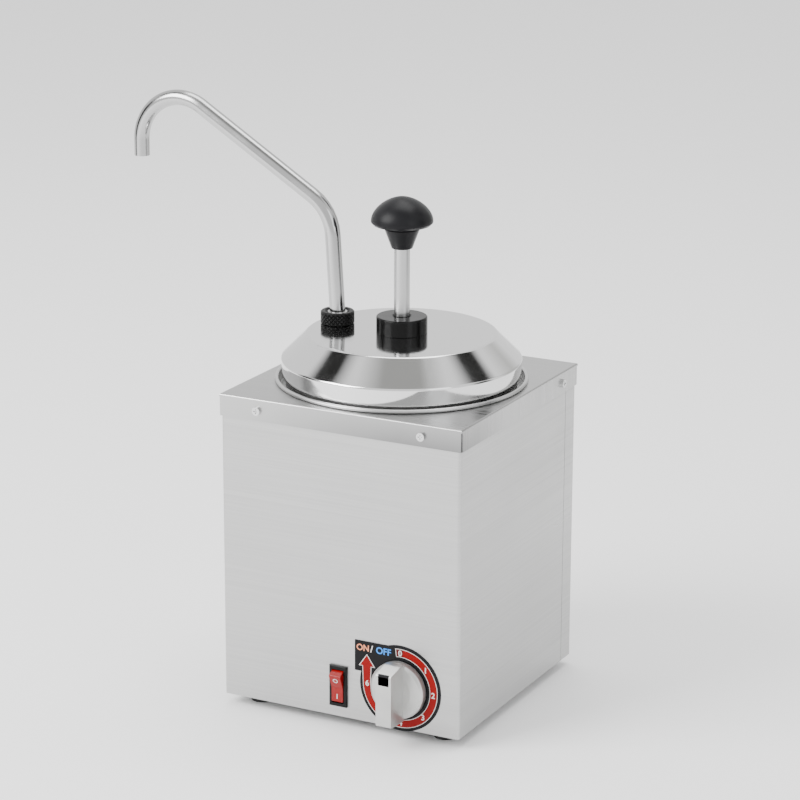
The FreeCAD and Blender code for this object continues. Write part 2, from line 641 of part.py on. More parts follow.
def make_thermostat_knob():
    """Skirted knob with a grip bar across it, hollow behind, on a round spindle."""
    back = "-(body_half + dial_thick + 0.6)"
    disc = rod("knob_disc", ("dial_x", back, "dial_z"), "dial_knob_radius", "7", "-y")
    disc_round = doc.addObject("Part::Fillet", "knob_disc_round")
    disc_round.Base = disc
    rims = [n for n, e in enumerate(disc.Shape.Edges, start=1) if e.BoundBox.YMax < size(back) - 6.9]
    disc_round.Edges = [(rims[0], 1.5, 1.5)]
    bar = doc.addObject("Part::Wedge", "knob_bar")
    tapered = {
        "Xmin": "0", "Xmax": "grip_width", "X2min": "0.6", "X2max": "grip_width - 0.6",
        "Ymin": "0", "Ymax": "grip_front - body_half - dial_thick - 6",
        "Zmin": "0", "Zmax": "2 * dial_knob_radius - 0.6",
        "Z2min": "1", "Z2max": "2 * dial_knob_radius - 3",
    }
    for side, length in tapered.items():
        bind(bar, side, length)
    bar.Placement = FreeCAD.Placement(FreeCAD.Vector(), FreeCAD.Rotation(FreeCAD.Vector(0, 0, 1), 180))
    bind(bar, "Placement.Base.x", "dial_x + grip_width / 2")
    bind(bar, "Placement.Base.y", "-(body_half + dial_thick + 6)")
    bind(bar, "Placement.Base.z", "dial_z - dial_knob_radius + 0.3")
    hollow = rod("knob_hollow", ("dial_x", "-(body_half + dial_thick)", "dial_z"),
                 "dial_knob_radius - 2", "4.6", "-y")
    hub = rod("knob_hub", ("dial_x", back, "dial_z"), "6", "5", "-y")
    bore = rod("knob_bore", ("dial_x", "-body_half", "dial_z"), "spindle_radius", "14", "-y")
    seat = block("pointer_seat", ("dial_x - 4.2", "-grip_front", "dial_z + 10.7"), ("8.4", "0.8", "8.4"))
    shell = cut("knob_shell", fuse("knob_outside", [disc_round, bar]), [hollow])
    finish(cut("thermostat_knob", fuse("knob_solid", [shell, hub]), [bore, seat]), "thermostat_knob")
    inlay = block("pointer_inlay", ("dial_x - 4.2", "-grip_front", "dial_z + 10.7"), ("8.4", "0.8", "8.4"))
    finish(inlay, "knob_pointer", "dial_x - 4.2", "-grip_front", "dial_z + 10.7")
    spindle = rod("spindle", ("dial_x", "-80", "dial_z"), "spindle_radius", "29", "-y")
    finish(spindle, "thermostat_spindle", "dial_x", "-80", "dial_z")


# ---- switch, cord gland and terminals ----


def make_switch():
    """Snap-in rocker switch: bezel and hollow case, four spade terminals, and the rocker on its pivot."""
    face = "-body_half"
    bezel = block("bezel", ("switch_x - bezel_width / 2", f"{face} - 2", "switch_z - bezel_height / 2"),
                  ("bezel_width", "2", "bezel_height"))
    bezel_round = doc.addObject("Part::Fillet", "bezel_round")
    bezel_round.Base = bezel
    fronts = [n for n, edge in enumerate(bezel.Shape.Edges, start=1)
              if edge.BoundBox.YMax < size(face) - 1.99]
    bezel_round.Edges = [(number, 0.8, 0.8) for number in fronts]
    case = block("switch_case", ("switch_x - 6.2", face, "switch_z - 13.8"), ("12.4", "22", "27.6"))
    well = block("rocker_well", ("switch_x - 4.8", f"{face} - 3", "switch_z - 12.8"), ("9.6", "17", "25.6"))
    pivot = rod("pivot_bore", ("switch_x - 6.1", "-rocker_pivot_y", "switch_z"), "1.26", "12.2", "x")
    slots = [block(f"tab_slot_{n}", ("switch_x - 3.15", f"{face} + 19", f"switch_z + {z} - 0.4"),
                   ("6.3", "4", "0.8"))
             for n, z in enumerate((-7, 7))]
    finish(cut("switch_housing", fuse("switch_solid", [bezel_round, case]), [well, pivot] + slots),
           "switch_housing")
    tabs = [block(f"switch_tab_{n}", ("switch_x - 3.15", f"{face} + 19", f"switch_z + {z} - 0.4"),
                  ("6.3", "12", "0.8"))
            for n, z in enumerate((-7, 7))]
    group = doc.addObject("Part::Compound", "switch_tabs")
    group.Links = tabs
    finish(group, "switch_terminals")


def make_rocker():
    """The rocker: a shallow V in front, ends rounded about its pivot, tilted to its lower stop."""
    body = new_body("rocker_face")
    sketch = new_sketch(body, "YZ_Plane", "-4.5")
    draw_outline(sketch, [
        ("4", "-6"), ("4", "6"), ("1", "12.3"), ("-5.4", "11.1", "12.34", 1), ("-3.2", "0"),
        ("-5.4", "-11.1"),
        ("1", "-12.3", "12.34", 1),
    ])
    feature = body.newObject("PartDesign::Pad", "rocker_pad")
    feature.Profile = sketch
    feature.Length = 9
    doc.recompute()
    round_edges(body, "0.5", lambda edge: edge.BoundBox.YMax < -3.1 and edge.BoundBox.XLength < 0.1)
    pins = rod("rocker_pins", ("-6", "0", "0"), "1.2", "12", "x")
    item = fuse("rocker_tilted", [body, pins])
    item.Placement = FreeCAD.Placement(FreeCAD.Vector(),
                                       FreeCAD.Rotation(FreeCAD.Vector(1, 0, 0), size("rocker_tilt")))
    finish(item, "rocker", "switch_x", "-rocker_pivot_y", "switch_z")


def make_cord_gland():
    """Round gland for the supply cord in the rear panel, held by a nut inside."""
    body = new_body("cord_gland")
    revolve(body, [
        ("gland_bore", "-11"), ("8", "-11"), ("8", "0"), ("11", "0"), ("11", "2.2"),
        ("10.2", "3", "0.8", 1),
        ("7.5", "3"), ("6.5", "9"), ("gland_bore", "9"),
    ])
    body.Placement = FreeCAD.Placement(FreeCAD.Vector(), TURNS["y"])
    finish(body, "cord_gland", "gland_x", "body_half", "gland_z")
    nut = cut("gland_nut", hexagon("gland_nut_blank", 12.5, 4),
              [rod("gland_nut_bore", ("0", "0", "-1"), 8.05, 8)])
    nut.Placement = FreeCAD.Placement(FreeCAD.Vector(), TURNS["y"])
    finish(nut, "gland_locknut", "gland_x", "body_half - sheet - 4", "gland_z")


TERMINAL_X = ("-75", "-65", "-55", "-45")


def make_terminals():
    """Terminal block on the base plate, and the earth screw with its lug."""
    floor = "sheet + floor_sheet"
    case = block("terminal_case", ("-80", "40", floor), ("40", "18", "14"))
    wells = [rod(f"terminal_well{x}", (x, "49", "12"), "2.6", "8") for x in TERMINAL_X]
    entries = [rod(f"terminal_entry{x}", (x, "39", "9"), "1.5", "4", "y") for x in TERMINAL_X]
    finish(cut("terminal_block", case, wells + entries), "terminal_block")
    grub = cut("terminal_grub", rod("grub_blank", ("0", "0", "0"), 2.5, 3),
               [block("grub_slot", ("-3", "-0.4", "2.2"), ("6", "0.8", "2"))])
    finish(copies("terminal_screw_set", grub, [(x, "49", "12", "z") for x in TERMINAL_X]),
           "terminal_screws")
    ring = rod("lug_ring", ("-55", "5", floor), "4.5", "0.8")
    sleeve = rod("lug_sleeve", ("-55", "8.2", f"{floor} + 2.3"), "2", "8", "y")
    hole = rod("lug_hole", ("-55", "5", "0"), "2.1", "8")
    finish(cut("earth_lug", fuse("lug_solid", [ring, sleeve]), [hole]), "earth_lug")
    screw = pan_screw("earth_pan_screw", 3.0, 2.0, 5)
    finish(copies("earth_screw_one", screw, [("-55", "5", f"{floor} + 0.8", "z")]), "earth_screw")


def make_wires():
    """Internal wiring, from the terminal block to switch, thermostat, cut-out and element."""
    low_tab = "switch_z - 7"
    high_tab = "switch_z + 7"
    tab_end = "31 - body_half"
    cutout_low = "tank_bottom - 18"
    pin_x = "heater_radius * sin(15)"
    pin_y = "heater_radius * cos(15)"
    pin_low = "tank_bottom - heater_tube - 12.1"
    stat_end = "35 + sheet - body_half"
    lug_z = "sheet + floor_sheet + 2.3"
    routes = {
        "line_wire": [("-65", "40", "9"), ("-65", "-44", "9"), ("switch_x", "-44", low_tab),
                      ("switch_x", tab_end, low_tab)],
        "switched_wire": [("switch_x", tab_end, high_tab), ("switch_x", "-46", high_tab),
                          ("40", "-46", "30"), ("40", stat_end, "30")],
        "heater_wire": [("58", stat_end, "30"), ("58", "0", "26"), ("5", "30", "26"),
                        ("5", "30", cutout_low)],
        "jumper_wire": [("-5", "30", cutout_low), ("-5", "30", "33"), (pin_x, pin_y, "33"),
                        (pin_x, pin_y, pin_low)],
        "neutral_wire": [("-45", "40", "9"), ("-45", "24", "10"), (f"-{pin_x}", pin_y, "24"),
                         (f"-{pin_x}", pin_y, pin_low)],
        "earth_wire": [("-55", "40", "9"), ("-55", "32", "9"), ("-55", "23", lug_z),
                       ("-55", "16.25", lug_z)],
    }
    for label, route in routes.items():
        finish(bent_wire(label + "_run", route, "wire_radius", 5), label)


# ---- pot and lid ----


def make_food_pot():
    """Lift-out pot: its shoulder sits on the tank's ledge and its neck ends in a rolled rim under the lid."""
    body = new_body("food_pot")
    inner = "pot_radius - tank_sheet"
    shoulder = "ledge_z + 0.1"
    revolve(body, [
        ("0", "pot_bottom"), ("pot_radius - pot_corner", "pot_bottom"),
        ("pot_radius", "pot_bottom + pot_corner", "pot_corner", 1),
        ("pot_radius", shoulder), ("pot_neck", shoulder), ("pot_neck", "pot_rim_z"),
        ("pot_neck - tank_sheet", "pot_rim_z"), ("pot_neck - tank_sheet", f"{shoulder} + tank_sheet"),
        (inner, f"{shoulder} + tank_sheet"), (inner, "pot_bottom + pot_corner"),
        ("pot_radius - pot_corner", "pot_bottom + tank_sheet", "pot_corner - tank_sheet", -1),
        ("0", "pot_bottom + tank_sheet"),
    ])
    rim = new_sketch(body, "XZ_Plane")
    draw_circle(rim, "pot_rim_radius", "pot_rim_z", "1.5")
    ring = body.newObject("PartDesign::Revolution", "food_pot_rim")
    ring.Profile = rim
    ring.ReferenceAxis = (rim, ["V_Axis"])
    ring.Angle = 360
    doc.recompute()
    finish(body, "food_pot")


def make_lid():
    """Spun lid: flat top, cone, skirt; holes for the pump's neck and the riser."""
    body = new_body("lid")
    # the cone's and the skirt's slopes, so that the inside is one sheet away from the outside
    run = "(lid_wide - lid_flat)"
    drop = "(lid_top - lid_shoulder)"
    slant = f"sqrt({run} * {run} + {drop} * {drop})"
    flat_in = f"lid_flat - lid_sheet * ({slant} - {drop}) / {run}"
    revolve(body, [
        ("neck_radius + 0.3", "lid_top"), ("neck_radius + 0.3", "lid_top - lid_sheet"),
        (flat_in, "lid_top - lid_sheet"),
        ("lid_wide - 1.05 * lid_sheet", "lid_shoulder - 0.38 * lid_sheet"),
        ("lid_edge - lid_sheet", "lid_bottom"), ("lid_edge", "lid_bottom"), ("lid_wide", "lid_shoulder"),
        ("lid_flat", "lid_top"),
    ])
    round_edges(body, "2.4", lambda edge: is_ring(edge, "lid_flat", "lid_top"))
    round_edges(body, "1.6", lambda edge: is_ring(edge, "lid_wide", "lid_shoulder"))
    cut_through(body, "XY_Plane", circles=[("-nut_out", "0", "tube_radius + 0.3")])
    finish(body, "lid")


# ---- pump ----


def make_pump():
    """Collar, gasket and barrel clamp the lid; the valve body joins the barrel to the riser."""
    neck_top = "lid_top + 8"
    top = "lid_top + collar_height"
    collar = new_body("pump_collar")
    revolve(collar, [
        ("rod_radius + 0.05", neck_top), ("neck_radius + 0.05", neck_top),
        ("neck_radius + 0.05", "lid_top"),
        ("collar_radius", "lid_top"), ("collar_radius", f"{top} - 1"), ("collar_radius - 1", top, "1", 1),
        ("rod_radius + 1.05", top), ("rod_radius + 0.05", f"{top} - 1"),
    ])
    finish(collar, "pump_collar")
    under = "lid_top - lid_sheet"
    gasket = new_body("lid_gasket")
    revolve(gasket, rectangle("neck_radius + 0.3", f"{under} - 1", "barrel_flange", under))
    finish(gasket, "lid_gasket")
    barrel = new_body("pump_barrel")
    flange = f"{under} - 1"
    revolve(barrel, [
        ("barrel_bore", "valve_top"), ("barrel_radius", "valve_top"), ("barrel_radius", f"{flange} - 3"),
        ("barrel_flange", f"{flange} - 3"), ("barrel_flange", flange), ("neck_radius", flange),
        ("neck_radius", neck_top), ("10", neck_top), ("10", f"{flange} - 3"),
        ("barrel_bore", f"{flange} - 7"),
    ])
    finish(barrel, "pump_barrel")
    chamber = rod("valve_chamber", ("0", "0", "valve_bottom"), "barrel_flange", "valve_top - valve_bottom")
    spigot = rod("valve_spigot", ("0", "0", "valve_top"), "barrel_bore - 0.05", "4")
    arm = block("valve_arm", ("-nut_out", "-8", "valve_bottom"), ("nut_out", "16", "14"))
    boss = rod("riser_boss", ("-nut_out", "0", "valve_bottom"), "9", "24")
    tools = [
        rod("inlet", ("0", "0", "valve_bottom - 1"), "4", "6"),
        rod("suction_room", ("0", "0", "valve_bottom + 4"), "6.5", "10"),
        rod("spigot_bore", ("0", "0", "valve_bottom + 14"), "10", "8"),
        rod("channel", ("-nut_out", "0", "valve_bottom + 7"), "2.5", "nut_out", "x"),
        rod("riser_seat", ("-nut_out", "0", "valve_bottom + 4.5"), "4", "6"),
        rod("discharge_room", ("-nut_out", "0", "valve_bottom + 10"), "6.5", "10.1"),
        rod("riser_socket", ("-nut_out", "0", "valve_bottom + 20"), "tube_radius + 0.03", "6"),
    ]
    finish(cut("valve_body", fuse("valve_solid", [chamber, spigot, arm, boss]), tools), "valve_body")
    lift = math.sqrt(BALL_RADIUS**2 - 4**2) + 0.3
    for label, x, seat in (("suction_ball", "0", "valve_bottom + 5"),
                           ("discharge_ball", "-nut_out", "valve_bottom + 10.5")):
        ball = doc.addObject("Part::Sphere", label + "_round")
        ball.Radius = BALL_RADIUS
        finish(ball, label, x, "0", f"{seat} + {lift:.3f}")


def make_riser():
    """Riser tube from the valve body to the threaded head on the lid, its locknut, seal and union nut."""
    riser = new_body("discharge_riser")
    head = "lid_top"
    revolve(riser, [
        ("tube_bore", "valve_bottom + 20.2"), ("tube_radius", "valve_bottom + 20.2"), ("tube_radius", head),
        ("9", head), ("9", f"{head} + 4.3"), ("tube_bore", f"{head} + 4.3"),
    ])
    finish(riser, "discharge_riser", "-nut_out")
    seal = new_body("union_seal")
    revolve(seal, rectangle("tube_bore + 0.1", f"{head} + 4.3", "8.5", f"{head} + 5.3"))
    finish(seal, "union_seal", "-nut_out")
    under = "lid_top - lid_sheet"
    locknut = cut("riser_nut", hexagon("riser_nut_blank", 11, 4),
                  [rod("riser_nut_bore", ("0", "0", "-1"), 5.8, 8)])
    finish(locknut, "riser_locknut", "-nut_out", "0", f"{under} - 4")
    nut = new_body("union_nut")
    top = "lid_top + nut_height"
    revolve(nut, [
        ("9.05", "lid_top + 0.2"), ("nut_radius - 0.5", "lid_top + 0.2"), ("nut_radius", "lid_top + 0.7"),
        ("nut_radius", f"{top} - 0.7"), ("nut_radius - 0.7", top), ("9.4", top), ("7.8", f"{top} - 1.3"),
        ("7.8", f"{top} - 1.9"), ("9.05", f"{top} - 1.9"),
    ])
    finish(nut, "union_nut", "-nut_out")


def make_plunger():
    """Rod, knob, piston with its seal and nut; and the spring that pushes them up."""
    shaft = new_body("plunger_rod")
    revolve(shaft, [
        ("0", "piston_z - 5"), ("4", "piston_z - 5"), ("4", "piston_z + piston_height"),
        ("rod_radius", "piston_z + piston_height"), ("rod_radius", "knob_bottom"), ("4", "knob_bottom"),
        ("4", "knob_waist + 2"), ("0", "knob_waist + 2"),
    ])
    finish(shaft, "plunger_rod")
    knob = new_body("plunger_knob")
    rise = "(knob_top - knob_wide_z)"
    revolve(knob, [
        ("4.02", "knob_bottom"), ("7.5", "knob_bottom"), ("12.7", "knob_waist"),
        ("12.2", "knob_waist + 0.6"),
        ("12.7", "knob_waist + 1.6"), ("knob_radius - 3.4", "knob_wide_z - 3.6"),
        ("knob_radius", "knob_wide_z", "3.8", 1),
        ("0", "knob_top", f"(knob_radius * knob_radius + {rise} * {rise}) / (2 * {rise})", 1),
        ("0", "knob_waist + 3"), ("4.02", "knob_waist + 3"),
    ])
    finish(knob, "plunger_knob")
    piston = new_body("piston")
    wide = "barrel_bore - 0.4"
    revolve(piston, [
        ("4.02", "piston_z"), (wide, "piston_z"), (wide, "piston_z + 5"), (f"{wide} - 2.5", "piston_z + 5"),
        (f"{wide} - 2.5", "piston_z + 8.4"), (wide, "piston_z + 8.4"), (wide, "piston_z + piston_height"),
        ("4.02", "piston_z + piston_height"),
    ])
    finish(piston, "piston")
    seal = new_body("piston_seal")
    revolve(seal, rectangle(f"{wide} - 2.5", "piston_z + 5.1", "barrel_bore - 0.05", "piston_z + 8.3"))
    finish(seal, "piston_seal")
    nut = cut("piston_nut_solid", hexagon("piston_nut_blank", 7.5, 4),
              [rod("piston_nut_bore", ("0", "0", "-1"), 4.02, 8)])
    finish(nut, "piston_nut", z="piston_z - 4")


def make_return_spring():
    """Closed compression spring from the valve body's spigot to the piston."""
    coil = 10.6
    wire = 0.9
    low = size("valve_top + 4") + wire
    high = size("piston_z") - wire
    turns = 8
    helix = doc.addObject("Part::Helix", "spring_line")
    helix.Radius = coil
    helix.Pitch = (high - low) / turns
    helix.Height = high - low
    helix.SegmentLength = 1
    helix.Placement = FreeCAD.Placement(FreeCAD.Vector(0, 0, low), FreeCAD.Rotation())
    section = doc.addObject("Part::Circle", "spring_section")
    section.Radius = wire
    section.Placement = FreeCAD.Placement(FreeCAD.Vector(coil, 0, low),
                                          FreeCAD.Rotation(FreeCAD.Vector(1, 0, 0), 90))
    sweep = doc.addObject("Part::Sweep", "return_spring")
    sweep.Sections = [section]
    sweep.Spine = (helix, [])
    sweep.Solid = True
    sweep.Frenet = True
    finish(sweep, "return_spring")


def make_spout():
    """Swivelling spout in one plane: leg, arm and hook; and the ferrule that the union nut holds."""
    lean = math.atan2(size("spout_corner_out"), size("spout_corner_z - lid_top - 9"))
    rise = math.radians(size("spout_rise"))
    hook = size("hook_bend")
    start = FreeCAD.Vector(0, 0, size("spout_start"))
    kink = FreeCAD.Vector(0, 0, size("lid_top + 9"))
    corner = FreeCAD.Vector(-size("spout_corner_out"), 0, size("spout_corner_z"))
    # the hook turns through more than a right angle, so it is one arc about its own centre
    centre_out = size("spout_reach") - hook
    centre_z = corner.z + (centre_out + corner.x) * math.tan(rise) - hook / math.cos(rise)
    centre = FreeCAD.Vector(-centre_out, 0, centre_z)
    enter = centre + FreeCAD.Vector(math.sin(rise), 0, math.cos(rise)) * hook
    crown_angle = (math.pi / 2 + rise) / 2 + math.pi / 2 - rise
    crown = centre + FreeCAD.Vector(math.cos(crown_angle), 0, math.sin(crown_angle)) * hook
    leave = centre - FreeCAD.Vector(hook, 0, 0)
    tip = FreeCAD.Vector(leave.x, 0, size("spout_tip"))
    up = FreeCAD.Vector(0, 0, 1)
    leaning = (corner - kink).normalize()
    arm = (enter - corner).normalize()
    edges = []
    place = start
    for point, before, after, bend in ((kink, up, leaning, 60.0),
                                       (corner, leaning, arm, size("spout_bend"))):
        half_turn = before.getAngle(after) / 2
        first = point - before * bend * math.tan(half_turn)
        last = point + after * bend * math.tan(half_turn)
        middle = point + (after - before).normalize() * (bend / math.cos(half_turn) - bend)
        edges += [Part.LineSegment(place, first).toShape(), Part.Arc(first, middle, last).toShape()]
        place = last
    edges += [Part.LineSegment(place, enter).toShape(), Part.Arc(enter, crown, leave).toShape()]
    edges.append(Part.LineSegment(leave, tip).toShape())
    spine = Part.Wire(edges)
    rings = [Part.Wire(Part.makeCircle(size(radius), start, up)) for radius in ("tube_radius", "tube_bore")]
    outside, inside = [spine.makePipeShell([ring], True, True) for ring in rings]
    tube = doc.addObject("Part::Feature", "spout_pipe")
    tube.Shape = outside.cut(inside)
    finish(tube, "spout_tube", "-nut_out")
    ferrule = new_body("spout_ferrule")
    low = "spout_start"
    revolve(ferrule, [
        ("tube_radius", low), ("8.6", low), ("8.6", f"{low} + 2.1"), ("7.3", f"{low} + 2.1"),
        ("7.3", f"{low} + 3.6"), ("tube_radius", f"{low} + 3.6"),
    ])
    finish(ferrule, "spout_ferrule", "-nut_out")


def check_and_export():
    """Stops if anything failed; otherwise writes one STEP file for each sub-part."""
    doc.recompute()
    for item in doc.Objects:
        if "Invalid" in item.State or "Error" in item.State:
            raise RuntimeError(f"{item.Label} failed: {item.State}")
    for piece in sub_parts:
        if piece.Shape.isNull() or not piece.Shape.isValid():
            raise RuntimeError(f"{piece.Label} has no valid shape")
    os.makedirs("parts", exist_ok=True)
    for piece in sub_parts:
        piece.Shape.exportStep(os.path.join("parts", piece.Label + ".step"))
        print(f"{piece.Label}: {len(piece.Shape.Solids)} solid, {piece.Shape.Volume / 1000:.2f} cm3")
    whole = FreeCAD.BoundBox()
    for piece in sub_parts:
        whole.add(piece.Shape.optimalBoundingBox(False))
    for axis in ("X", "Y", "Z"):
        low, high = getattr(whole, axis + "Min"), getattr(whole, axis + "Max")
        print(f"overall {axis} {low:.2f} to {high:.2f}")


make_housing_wrap()
make_rear_panel()
make_top_cover()
make_base_plate()
make_feet()
make_bath_tank()
make_fasteners()
make_heater()
make_thermostat()
make_thermostat_knob()
make_switch()
make_rocker()
make_cord_gland()
make_terminals()
make_wires()
make_food_pot()
make_lid()
make_pump()
make_riser()
make_plunger()
make_return_spring()
make_spout()
check_and_export()
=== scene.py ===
import math

import bmesh
import bpy
from mathutils import Matrix, Vector


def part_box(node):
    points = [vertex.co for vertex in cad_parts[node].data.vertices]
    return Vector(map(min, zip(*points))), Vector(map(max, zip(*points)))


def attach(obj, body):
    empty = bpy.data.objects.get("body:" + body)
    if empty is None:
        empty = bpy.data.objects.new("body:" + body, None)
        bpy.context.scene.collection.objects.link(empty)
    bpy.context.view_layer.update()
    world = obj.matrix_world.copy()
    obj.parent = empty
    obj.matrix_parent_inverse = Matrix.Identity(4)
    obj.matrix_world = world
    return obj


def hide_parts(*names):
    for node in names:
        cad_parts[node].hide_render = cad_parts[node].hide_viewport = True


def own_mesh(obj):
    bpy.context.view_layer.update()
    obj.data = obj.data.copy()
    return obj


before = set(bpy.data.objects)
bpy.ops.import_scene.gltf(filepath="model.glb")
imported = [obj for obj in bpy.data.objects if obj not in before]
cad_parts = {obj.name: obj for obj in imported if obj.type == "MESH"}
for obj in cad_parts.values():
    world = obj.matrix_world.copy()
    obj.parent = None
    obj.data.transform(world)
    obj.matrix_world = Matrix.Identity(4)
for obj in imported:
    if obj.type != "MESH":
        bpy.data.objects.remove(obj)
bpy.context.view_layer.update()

# Looks of the nacho cheese dispenser, in metres, in the CAD's frame. Profiles are drawn in millimetres:
# radii from the middle of the tank or of the spout, heights from the housing's lower edge.

MM = 0.001
TANK_LOW, TANK_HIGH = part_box("bath_tank")
AXIS = Vector(((TANK_LOW[0] + TANK_HIGH[0]) / 2, (TANK_LOW[1] + TANK_HIGH[1]) / 2, 0.0))
NUT_LOW, NUT_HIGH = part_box("union_nut")
SPOUT_AXIS = Vector(((NUT_LOW[0] + NUT_HIGH[0]) / 2, (NUT_LOW[1] + NUT_HIGH[1]) / 2, 0.0))
LIFT = 8.0  # height of the housing's lower edge above the counter, in mm
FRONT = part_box("housing_wrap")[0][1]
DIAL_LOW, DIAL_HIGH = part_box("thermostat_knob")
DIAL = Vector(((DIAL_LOW[0] + DIAL_HIGH[0]) / 2, FRONT, (DIAL_LOW[2] + DIAL_HIGH[2]) / 2))
BEZEL_LOW, BEZEL_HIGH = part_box("switch_housing")
SWITCH = Vector(((BEZEL_LOW[0] + BEZEL_HIGH[0]) / 2, FRONT, (BEZEL_LOW[2] + BEZEL_HIGH[2]) / 2))
LID_TOP = 262.2  # the lid's flat top, in mm above the housing's lower edge
SPOUT_FOOT, FERRULE_TOP = 267.6, 271.2  # where the spout starts inside its nut, and its ferrule's upper end
SMOOTH_BELOW = math.radians(32)
EVEN = (1, 1, 1)  # the scale of a noise that runs the same way in all directions


# ---- outlines and meshes ----


def rounded(corners, closed=True):
    """Points of an outline in mm. A corner is (x, y) or (x, y, radius) for a rounded one."""
    points = []
    count = len(corners)
    for index, corner in enumerate(corners):
        here = Vector(corner[:2])
        if len(corner) < 3 or (not closed and index in (0, count - 1)):
            points.append(here)
            continue
        before = (Vector(corners[index - 1][:2]) - here).normalized()
        after = (Vector(corners[(index + 1) % count][:2]) - here).normalized()
        half = before.angle(after) / 2
        centre = here + (before + after).normalized() * (corner[2] / math.sin(half))
        first = here + before * (corner[2] / math.tan(half))
        last = here + after * (corner[2] / math.tan(half))
        start = first - centre
        sweep = start.angle_signed(last - centre)
        steps = max(3, int(abs(sweep) * 7))
        for step in range(steps + 1):
            turn = -sweep * step / steps
            points.append(centre + Matrix.Rotation(turn, 2) @ start)
    return points


def round_arc(centre, radius, start, end, steps):
    """Points of part of a circle, angles in degrees from +x."""
    points = []
    for step in range(steps + 1):
        angle = math.radians(start + (end - start) * step / steps)
        points.append((centre[0] + radius * math.cos(angle), centre[1] + radius * math.sin(angle)))
    return points


def oblong(half_x, half_y, *radius):
    """A rectangle about its middle, with rounded corners where a radius is given, in mm."""
    return rounded([(x * half_x, y * half_y, *radius) for x, y in ((-1, -1), (1, -1), (1, 1), (-1, 1))])


def linked(name, data):
    """A new object in the scene."""
    thing = bpy.data.objects.new(name, data)
    bpy.context.collection.objects.link(thing)
    return thing


def shaded(piece, below=SMOOTH_BELOW):
    """Smooth shading, except across edges sharper than an angle."""
    mesh = piece.data
    mesh.polygons.foreach_set("use_smooth", [True] * len(mesh.polygons))
    mesh.set_sharp_from_angle(angle=below)
    return piece


def from_bmesh(name, work):
    """An object from a finished bmesh, its faces turned outward."""
    bmesh.ops.recalc_face_normals(work, faces=work.faces)
    mesh = bpy.data.meshes.new(name)
    work.to_mesh(mesh)
    work.free()
    return linked(name, mesh)


def from_curve(name, curve):
    """An object from a filled curve or a text."""
    flat = bpy.data.objects.new(name, curve)
    mesh = bpy.data.meshes.new_from_object(flat)
    bpy.data.objects.remove(flat)
    return linked(name, mesh)


def supported(points, closed):
    """The outline with a point added just inside both ends of each long edge, to keep flats flat."""
    long_edge, inside = 2.5, 0.25
    held = []
    count = len(points)
    for index, point in enumerate(points):
        here = Vector(point[:2])
        held.append(here)
        if index == count - 1 and not closed:
            break
        step = Vector(points[(index + 1) % count][:2]) - here
        if step.length > long_edge:
            inset = step.normalized() * inside
            held += [here + inset, here + step - inset]
    return held


def turned_ring(work, axis, points):
    """A ring of vertices about an axis, one for each (radius, height) in mm."""
    ring = []
    for step, (radius, height) in enumerate(points):
        angle = 2 * math.pi * step / len(points)
        x = axis.x + radius * MM * math.cos(angle)
        y = axis.y + radius * MM * math.sin(angle)
        ring.append(work.verts.new((x, y, (height + LIFT) * MM)))
    return ring


def ring_faces(work, rings, closed=False):
    """Faces from each ring to the next. A ring may be a single vertex, which closes the piece there."""
    following = rings[1:] + rings[:1] if closed else rings[1:]
    for low, high in zip(rings, following):
        count = max(len(low), len(high))
        for step in range(count):
            after = (step + 1) % count
            turn = ((low, step), (low, after), (high, after), (high, step))
            face = list(dict.fromkeys(ring[place % len(ring)] for ring, place in turn))
            if len(face) > 2:
                work.faces.new(face)


def lathe(name, profile, axis=AXIS, segments=128, closed=True):
    """A turned piece from (radius, height) points in mm above the housing's lower edge."""
    on_axis = 1e-6
    work = bmesh.new()
    rings = []
    for radius, height in supported(profile, closed):
        count = 1 if radius < on_axis else segments
        rings.append(turned_ring(work, axis, [(radius, height)] * count))
    ring_faces(work, rings, closed)
    return shaded(from_bmesh(name, work))


def slab(name, outline, depth, holes=()):
    """A flat plate from an outline in mm, facing +z in its own frame, depth mm thick behind z = 0."""
    curve = bpy.data.curves.new(name, "CURVE")
    curve.dimensions = "2D"
    curve.fill_mode = "BOTH"
    for points in [outline, *holes]:
        spline = curve.splines.new("POLY")
        spline.points.add(len(points) - 1)
        for point, (x, y) in zip(spline.points, points):
            point.co = (x * MM, y * MM, 0.0, 1.0)
        spline.use_cyclic_u = True
    curve.extrude = depth * MM / 2
    piece = from_curve(name, curve)
    piece.data.transform(Matrix.Translation((0, 0, -depth * MM / 2)))
    return piece


def on_front(piece, x, z, out):
    """Stands a flat piece on the front panel: its +z turns to the viewer, out mm off the panel."""
    stand = Matrix.Rotation(math.radians(90), 4, "X")
    piece.data.transform(Matrix.Translation((x, FRONT - out * MM, z)) @ stand)
    return piece


def side_on(piece, thickness, place):
    """Stands a slab drawn from the side: its x turns up, its y out of the front, centred across place."""
    piece.data.transform(Matrix.Translation((0, 0, thickness / 2 * MM)))
    turn = Matrix(((0, 0, 1, place.x), (0, -1, 0, place.y), (1, 0, 0, place.z), (0, 0, 0, 1)))
    piece.data.transform(turn)
    return piece


def letters(name, text, height, x, z, out):
    """Raised print: text of a given height in mm, its middle at x, z on the front panel."""
    depth, size_for_height, weight = 0.06, 1.37, 0.028
    curve = bpy.data.curves.new(name, "FONT")
    curve.body = text
    curve.align_x = "CENTER"
    curve.align_y = "CENTER"
    curve.size = height * MM * size_for_height
    curve.extrude = depth * MM / 2
    curve.offset = height * MM * weight
    return on_front(from_curve(name, curve), x, z, out)


def apply_modifiers(piece):
    """The piece with its modifiers made part of its mesh."""
    graph = bpy.context.evaluated_depsgraph_get()
    mesh = bpy.data.meshes.new_from_object(piece.evaluated_get(graph))
    piece.modifiers.clear()
    piece.data = mesh
    return piece


